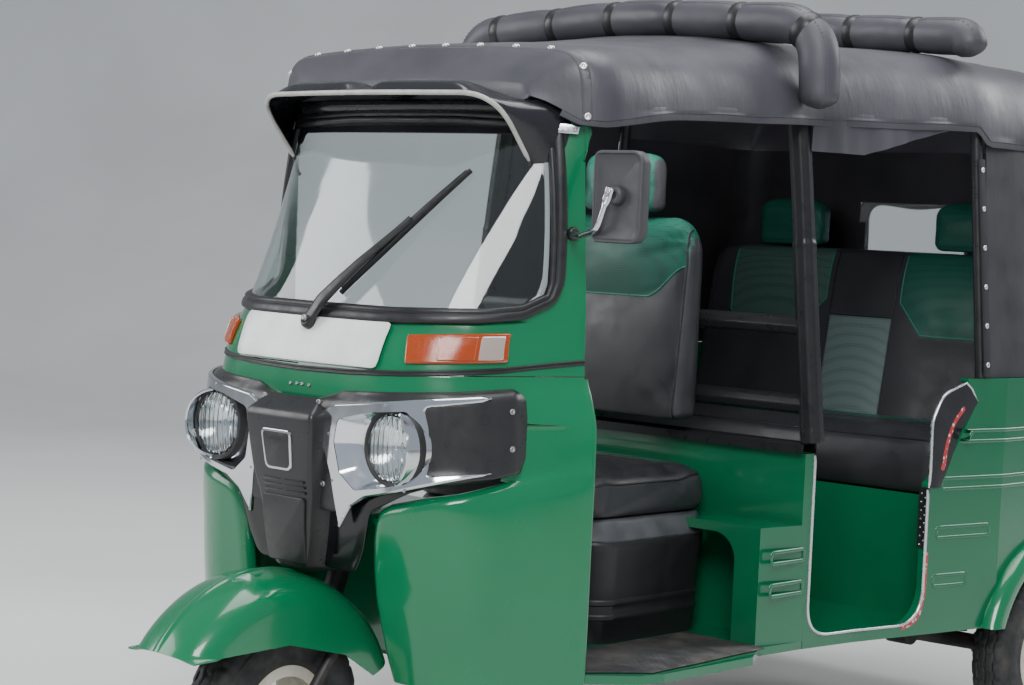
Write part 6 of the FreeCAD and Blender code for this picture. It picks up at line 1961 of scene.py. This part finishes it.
driver_back = swollen("driver_backrest_pad", points, faces, 0.0084, 11.0,
                      lambda p: p.y > 1056 or p.z < 798 or abs(abs(p.x) - 213) < 4 and p.y < leaning(p.z) + 14
                      or abs(p.z - yoke_line(p.x)) < 4 and p.y < leaning(p.z) + 14, ["driver_backrest"])
panelled(driver_back, lambda x, y, z: soft_step(z - yoke_line(x), -2, 2) * soft_step(217 - abs(x), -2,
        2) * soft_step(1050 - y, 0, 6),
         lambda x, y, z: 0.0)
piping_green = finish("green_piping", (0.02, 0.16, 0.10), 0.35, gloss=(0.25, 0.45, 0.01))
piped("driver_yoke_piping", driver_back, [[(x, 960, yoke_line(x)) for x in range(-214, 215, 6)]], 1.9,
      piping_green)
piped("driver_back_piping", driver_back,
      [between([(side * 215, 950, 800), (side * 215, 950, 1150), (side * 206, 950, 1225)])
                                          for side in (-1, 1)], 2.4, piping_black)
rings = [(1262 + high, 114 - inward, 1004 + inward * 0.45, 1057 - inward * 0.35, 22)
         for high, inward in ((0, 14), (6, 4), (18, 0), (60, 0), (100, 0), (118, 5), (128, 14), (134, 30),
                              (137, 52))]
points, faces = ring_stack(rings, 48)
driver_head = swollen("driver_headrest_pad", points, faces, 0.0068, 6.0, lambda p: p.z < 1268)
panelled(driver_head, lambda x, y, z: soft_step(100 - abs(x), -6, 2), lambda x, y, z: 0.0)
posts = [swept_tube([Vector((side * 60, 1032, 1225 + 8 * step)) for step in range(8)],
                    lambda index, angle: 6.5, 16) for side in (-1, 1)]
piece("headrest_posts", *joined(posts), bright_chrome, "lamp_chrome")

# Passengers' cushion, one long bench pad with a rolled front edge
rise = [(0, 30), (4, 14), (12, 5), (30, 0), (70, 0), (100, 2), (118, 8), (130, 18), (137, 34), (141, 60),
        (143, 110), (144, 150)]
rings = [(619 + high, 546 - inward * 0.9, 1584 + inward, 1955 - inward * 0.7, max(52 - inward * 0.2, 12))
         for high, inward in rise]
points, faces = ring_stack(rings, 88)
bench = swollen("passenger_cushion_pad", points, faces, 0.012, 11.0,
                lambda p: p.z < 628 or abs(p.z - 742) < 5 and min(546 - abs(p.x), p.y - 1584) < 12,
                ["passenger_cushion"])
panelled(bench, lambda x, y, z: soft_step(y, 1752, 1760) * soft_step(470 - abs(x), 0, 8) * (1 if z > 735
        else 0), lambda x, y, z: 0.0)
edge_line = rounded_path([(-528, 1604, 50), (528, 1604, 50), (528, 1940, 50), (-528, 1940, 50)], 9.0)
piped("bench_piping", bench, [[(x, y, 760) for x, y in edge_line + edge_line[:1]],
                              between([(-470, 1756, 760), (470, 1756, 760)]),
                              between([(-470, 1756, 760), (-470, 1935, 760)]),
                              between([(470, 1756, 760), (470, 1935, 760)])],
      2.4, piping_black, (0, 0, -1))

# Passengers' backrest, three sewn fields with two yokes, and a headrest above each place
def bench_lean(height):
    return 1960.5 + (height - 618) * 104 / 582


rings = []
for height, inward in ((621, 18), (627, 8), (640, 2), (660, 0), (760, 0), (860, 0), (960, 0), (1060, 0),
                       (1120, 1), (1155, 6), (1175, 14), (1186, 24), (1193, 38)):
    narrow = inward * 1.2 if height > 1100 else inward
    rings.append((height, 532 - narrow, bench_lean(height) + 5 + inward * 0.55,
                  bench_lean(height) + 86 - inward * 0.4, 26))
points, faces = ring_stack(rings, 88)
YOKE = [(118, 1240), (118, 1059), (193, 976), (395, 976), (432, 1012), (440, 1100), (446, 1240)]


def yoke_depth(x, z, side):
    """How far inside a yoke a point is, in millimetres; below zero outside."""
    x *= side
    spot = Vector((x, z))
    nearest = min((spot - Vector(a).lerp(Vector(b), min(max((spot - Vector(a)).dot(Vector(b) - Vector(a))
                  / (Vector(b) - Vector(a)).length_squared, 0), 1))).length for a, b in zip(YOKE, YOKE[1:]))
    return nearest if inside_outline(spot, YOKE) else -nearest


def bench_seam(p):
    if p.y > bench_lean(p.z) + 16:
        return False
    near = abs(abs(p.x) - 100) < 5 or abs(abs(p.x) - 500) < 5 or abs(p.x) < 100 and abs(p.z - 1017) < 5
    return near or abs(yoke_depth(p.x, p.z, 1 if p.x > 0 else -1)) < 5


bench_back = swollen("passenger_backrest_pad", points, faces, 0.0118, 14.0,
                     lambda p: p.y > bench_lean(p.z) + 80 or bench_seam(p), ["passenger_backrest"])


def bench_green(x, y, z):
    yoke = soft_step(yoke_depth(x, z, 1 if x > 0 else -1), -3, 3)
    # The right yoke (x below zero) takes less green than the left one, as part of a painted sheen.
    return yoke * (0.9 if x > 0 else 0.65) * soft_step(bench_lean(z) + 60 - y, 0, 8)


def bench_pale_and_sheen(x, y, z):
    middle = soft_step(97 - abs(x), -3, 3) * soft_step(1017 - z, -3, 3)
    # The right yoke is also mixed partly pale: a painted sheen on its green vinyl.
    pale = middle + 0.35 * soft_step(yoke_depth(x, z, -1), -3, 3)
    return pale * soft_step(bench_lean(z) + 60 - y, 0, 8) * 0.9


panelled(bench_back, bench_green, bench_pale_and_sheen)
seams = [between([(side * 100, 1900, 640), (side * 100, 1900, 1185)]) for side in (-1, 1)]
seams += [between([(side * 500, 1900, 640), (side * 496, 1900, 1172)]) for side in (-1, 1)]
seams += [between([(-98, 1900, 1017), (98, 1900, 1017)])]
piped("bench_back_seams", bench_back, seams, 2.0, piping_black)
piped("yoke_piping", bench_back,
      [between([(side * x, 1900, min(z, 1184)) for x, z in YOKE[:-1]] + [(side * 442, 1900, 1180)])
       for side in (-1, 1)], 2.0, piping_green)
for word, side in (("left", 1), ("right", -1)):
    rings = [(1200 + high, 106 - inward, 2081 + inward * 0.5, 2149 - inward * 0.4, 24)
             for high, inward in ((0, 14), (6, 5), (18, 0), (60, 0), (96, 0), (110, 6), (119, 16), (124, 30),
                                  (126, 50))]
    points, faces = ring_stack(rings, 48)
    points = [point + Vector((side * 0.285, 0, 0)) for point in points]
    head = swollen("passenger_headrest_pad_" + word, points, faces, 0.007, 7.0, lambda p: p.z < 1207)
    panelled(head, lambda x, y, z: 1.0, lambda x, y, z: 0.0)


# Driver's seat base: a moulded drum with rounded corners. Its top section carries the cushion, and two
# ribs run round the lower part. The top section is coloured dark grey as a painted sheen on the black
# moulding.
base_black = finish("seat_base_black_plastic", (0.013, 0.013, 0.014), 0.4, gloss=(0.3, 0.5, 0.05),
                    grain=[(0.0012, 0.0002, 0.5)])
points, faces = ring_stack([(high, half, 650 + 286 - half, 1050, 74) for high, half in (
    (322.2, 284), (372, 288), (375, 290), (383, 290), (386, 288), (404, 288), (407, 290), (415, 290),
    (418, 288), (440, 290), (500, 294), (524, 299), (540, 301), (545, 299))], 96)
piece("driver_seat_base_drum", points, faces, base_black, "black_plastic", ["driver_seat_base"], sharp=35)
# Dark grey, lighter than the black drum: a painted sheen on the drum's slanted top.
drum_top_painted_sheen = finish("seat_drum_top_painted_sheen", (0.050, 0.052, 0.058), 0.35,
                    blotches=((0.035, 0.037, 0.042), (0.07, 0.072, 0.08), 0.06, 0.35, 0.65),
                    gloss=(0.3, 0.55, 0.03))
points, faces = ring_stack([(high, half, 650 + 286 - half, 1050, 74) for high, half in (
    (544, 290), (545.5, 299), (549, 300), (584, 285), (590, 281), (592, 276))], 96)
piece("driver_seat_top_plate", points, faces, drum_top_painted_sheen, "black_plastic", sharp=35)

# Floor mats: ribbed rubber laid on the floor pan, one at each side of the tunnel and the seat
mat_rubber = finish("floor_mat_rubber", (0.020, 0.020, 0.021), 0.6, gloss=(0.45, 0.75, 0.04),
                    blotches=((0.015, 0.015, 0.016), (0.07, 0.06, 0.05), 0.10, 0.45, 0.8, 4))
mat_points, mat_faces = [], []
for side in (1, -1):
    start = len(mat_points)
    ridges = 32
    for behind in (424, 426, 470, 541, 700, 860, 950, 952):
        wide = 462 + (545 - 462) * soft_step(behind, 420, 545) - 22 * soft_step(behind, 541, 954)
        for number in range(ridges * 4 + 1):
            across = 300 + (wide - 300) * number / (ridges * 4)
            rise = (1.0, 3.4, 3.4, 1.0)[number % 4] if 424 < behind < 952 else 0.2
            mat_points.append(in_frame(side * across, behind, 322.2 + rise))
    mat_faces += [face if side > 0 else face[::-1] for face in grid_faces(8, ridges * 4 + 1, start=start)]
mats = piece("floor_mats", mat_points, mat_faces, mat_rubber, "black_rubber", smooth=False)
settled(thickened(mats, 0.0012, 1.0))

# Tail lamps: a red lens over an amber one in a black rubber seat, on each side of the back
lamp_red = finish("tail_lamp_red", (0.50, 0.008, 0.008), 0.15, gloss=(0.1, 0.22, 0.01))
tuned(lamp_red, Transmission_Weight=0.25)
flutes = on_object(lamp_red, shader_node(lamp_red, "TexChecker", Scale=170.0))
embossed(lamp_red, flutes.outputs["Fac"], 0.0008, 0.5)
for side, word in ((1, "left"), (-1, "right")):
    stepped_plate("tail_lamp_seat_" + word, (side * 515, 810), (60, 34), (10, 10),
                  [(3, 2299.5), (0, 2301), (0, 2304), (2, 2305.5), (6, 2305.5)], bead_rubber, "black_rubber",
                  ["tail_lamps"] if side > 0 else ())
    for part, across, half, glass in (("red", -20, 36, lamp_red), ("amber", 37, 19.5, turn_amber)):
        stepped_plate("tail_lamp_%s_%s" % (part, word), (side * (515 + across), 810), (half, 29.5), (7, 7),
                      [(0, 2304), (0, 2311), (1.2, 2314), (4, 2316), (9, 2317), (17, 2317.6)], glass,
                      "red_lens" if part == "red" else "amber_lens")

# Back number plate, left blank, with two screws, and a turning lock on the engine door
stepped_plate("back_number_plate", (0, 812), (170, 44), (9, 9),
              [(2, 2299.4), (0, 2300), (0, 2301.6), (0.8, 2302.4), (4, 2302.4)], plate_paint, None)
repeated_head("back_plate_screws",
              [(in_frame(side * 85, 2302.6, 812), Vector((0, 1, 0))) for side in (1, -1)], 0.006, 0.0035)
repeated_head("door_locks", [(in_frame(side * 250, 2300, 700), Vector((0, 1, 0))) for side in (1, -1)], 0.012,
              0.007, body="engine_door")


# Dashboard: one moulding of grained black plastic
black_plastic = finish("grained_black_plastic", (0.018, 0.018, 0.02), 0.5, gloss=(0.4, 0.6, 0.03),
                       grain=[(0.0012, 0.0002, 0.5)])
dressed("dash_panel", black_plastic)

# Floor, light and camera. A pale studio floor that curves away, four soft lamps round the vehicle,
# a weak one in its cabin and an even sky; the camera stands where the photograph was taken from.
floor_mesh = bpy.data.meshes.new("studio_floor")
floor_shape = bmesh.new()
floor_rows = []
for step in range(25):
    turn = min(max(step - 6, 0), 12) / 12 * math.pi / 2
    run = -14.0 + step * 3.5 if step <= 6 else 7.0 + 6.0 * math.sin(turn)
    rise = 6.0 * (1 - math.cos(turn)) + max(step - 18, 0) * 3.0
    floor_rows.append([floor_shape.verts.new((x, run, rise)) for x in (-30, -10, 10, 30)])
for first, second in zip(floor_rows, floor_rows[1:]):
    for column in range(3):
        floor_shape.faces.new((first[column], first[column + 1], second[column + 1], second[column]))
floor_shape.to_mesh(floor_mesh)
floor_shape.free()
for face in floor_mesh.polygons:
    face.use_smooth = True
studio_floor = placed("studio_floor", floor_mesh)
studio_floor.matrix_world = Matrix.Rotation(math.radians(42), 4, "Z")
floor_paint = finish("studio_floor_paint", (0.62, 0.62, 0.60), 0.75,
                     blotches=((0.58, 0.58, 0.56), (0.64, 0.64, 0.62), 1.5, 0.35, 0.65))
floor_mesh.materials.append(floor_paint)

for name, place, aim, size, power in (
        ("key_lamp", (4.5, -5.5, 5.5), (0, 0, 0.8), 3.0, 520),
        ("fill_lamp", (-5.0, -4.5, 3.5), (0, 0, 0.8), 4.0, 260),
        ("top_lamp", (0.5, 0.5, 6.0), (0, 0, 1.0), 4.0, 300),
        ("cabin_lamp", (0.1, 0.02, 1.54), (0, 0.75, 0.85), 0.5, 7),
        ("back_lamp", (2.5, 6.0, 4.5), (0, 0, 1.0), 3.0, 200)):
    lamp_data = bpy.data.lights.new(name, "AREA")
    lamp_data.size = size
    lamp_data.energy = power
    lamp = placed(name, lamp_data)
    lamp.location = place
    lamp.visible_camera = name != "cabin_lamp"
    lamp.visible_glossy = name != "cabin_lamp"
    lamp.rotation_euler = (Vector(aim) - Vector(place)).to_track_quat("-Z", "Y").to_euler()

sky = bpy.data.worlds.new("studio_sky")
bpy.context.scene.world = sky
sky.use_nodes = True
sky.node_tree.nodes["Background"].inputs["Color"].default_value = (0.80, 0.88, 1.0, 1.0)
sky.node_tree.nodes["Background"].inputs["Strength"].default_value = 0.55

CAMERA_AT, CAMERA_ANGLES = (3.3104, -3.9388, 1.2197), (-42.7097, -3.0768, 2.5975)
FOCAL_PIXELS, PHOTO_WIDE, SENSOR_WIDE = 2197.243, 1024, 36.0
yaw, pitch, roll = (math.radians(angle) for angle in CAMERA_ANGLES)
ahead = Vector((math.sin(yaw) * math.cos(pitch), math.cos(yaw) * math.cos(pitch), math.sin(pitch)))
level_right = ahead.cross(Vector((0, 0, 1))).normalized()
level_up = level_right.cross(ahead)
right = level_right * math.cos(roll) + level_up * math.sin(roll)
up = level_up * math.cos(roll) - level_right * math.sin(roll)
camera_data = bpy.data.cameras.new("photo_camera")
camera_data.sensor_width = SENSOR_WIDE
camera_data.lens = SENSOR_WIDE * FOCAL_PIXELS / PHOTO_WIDE
camera_data.clip_start, camera_data.clip_end = 0.05, 200
camera = placed("photo_camera", camera_data)
camera.matrix_world = Matrix([(*column, 0) for column in (right, up, -ahead)]
                             + [(*CAMERA_AT, 1)]).transposed()
bpy.context.scene.camera = camera
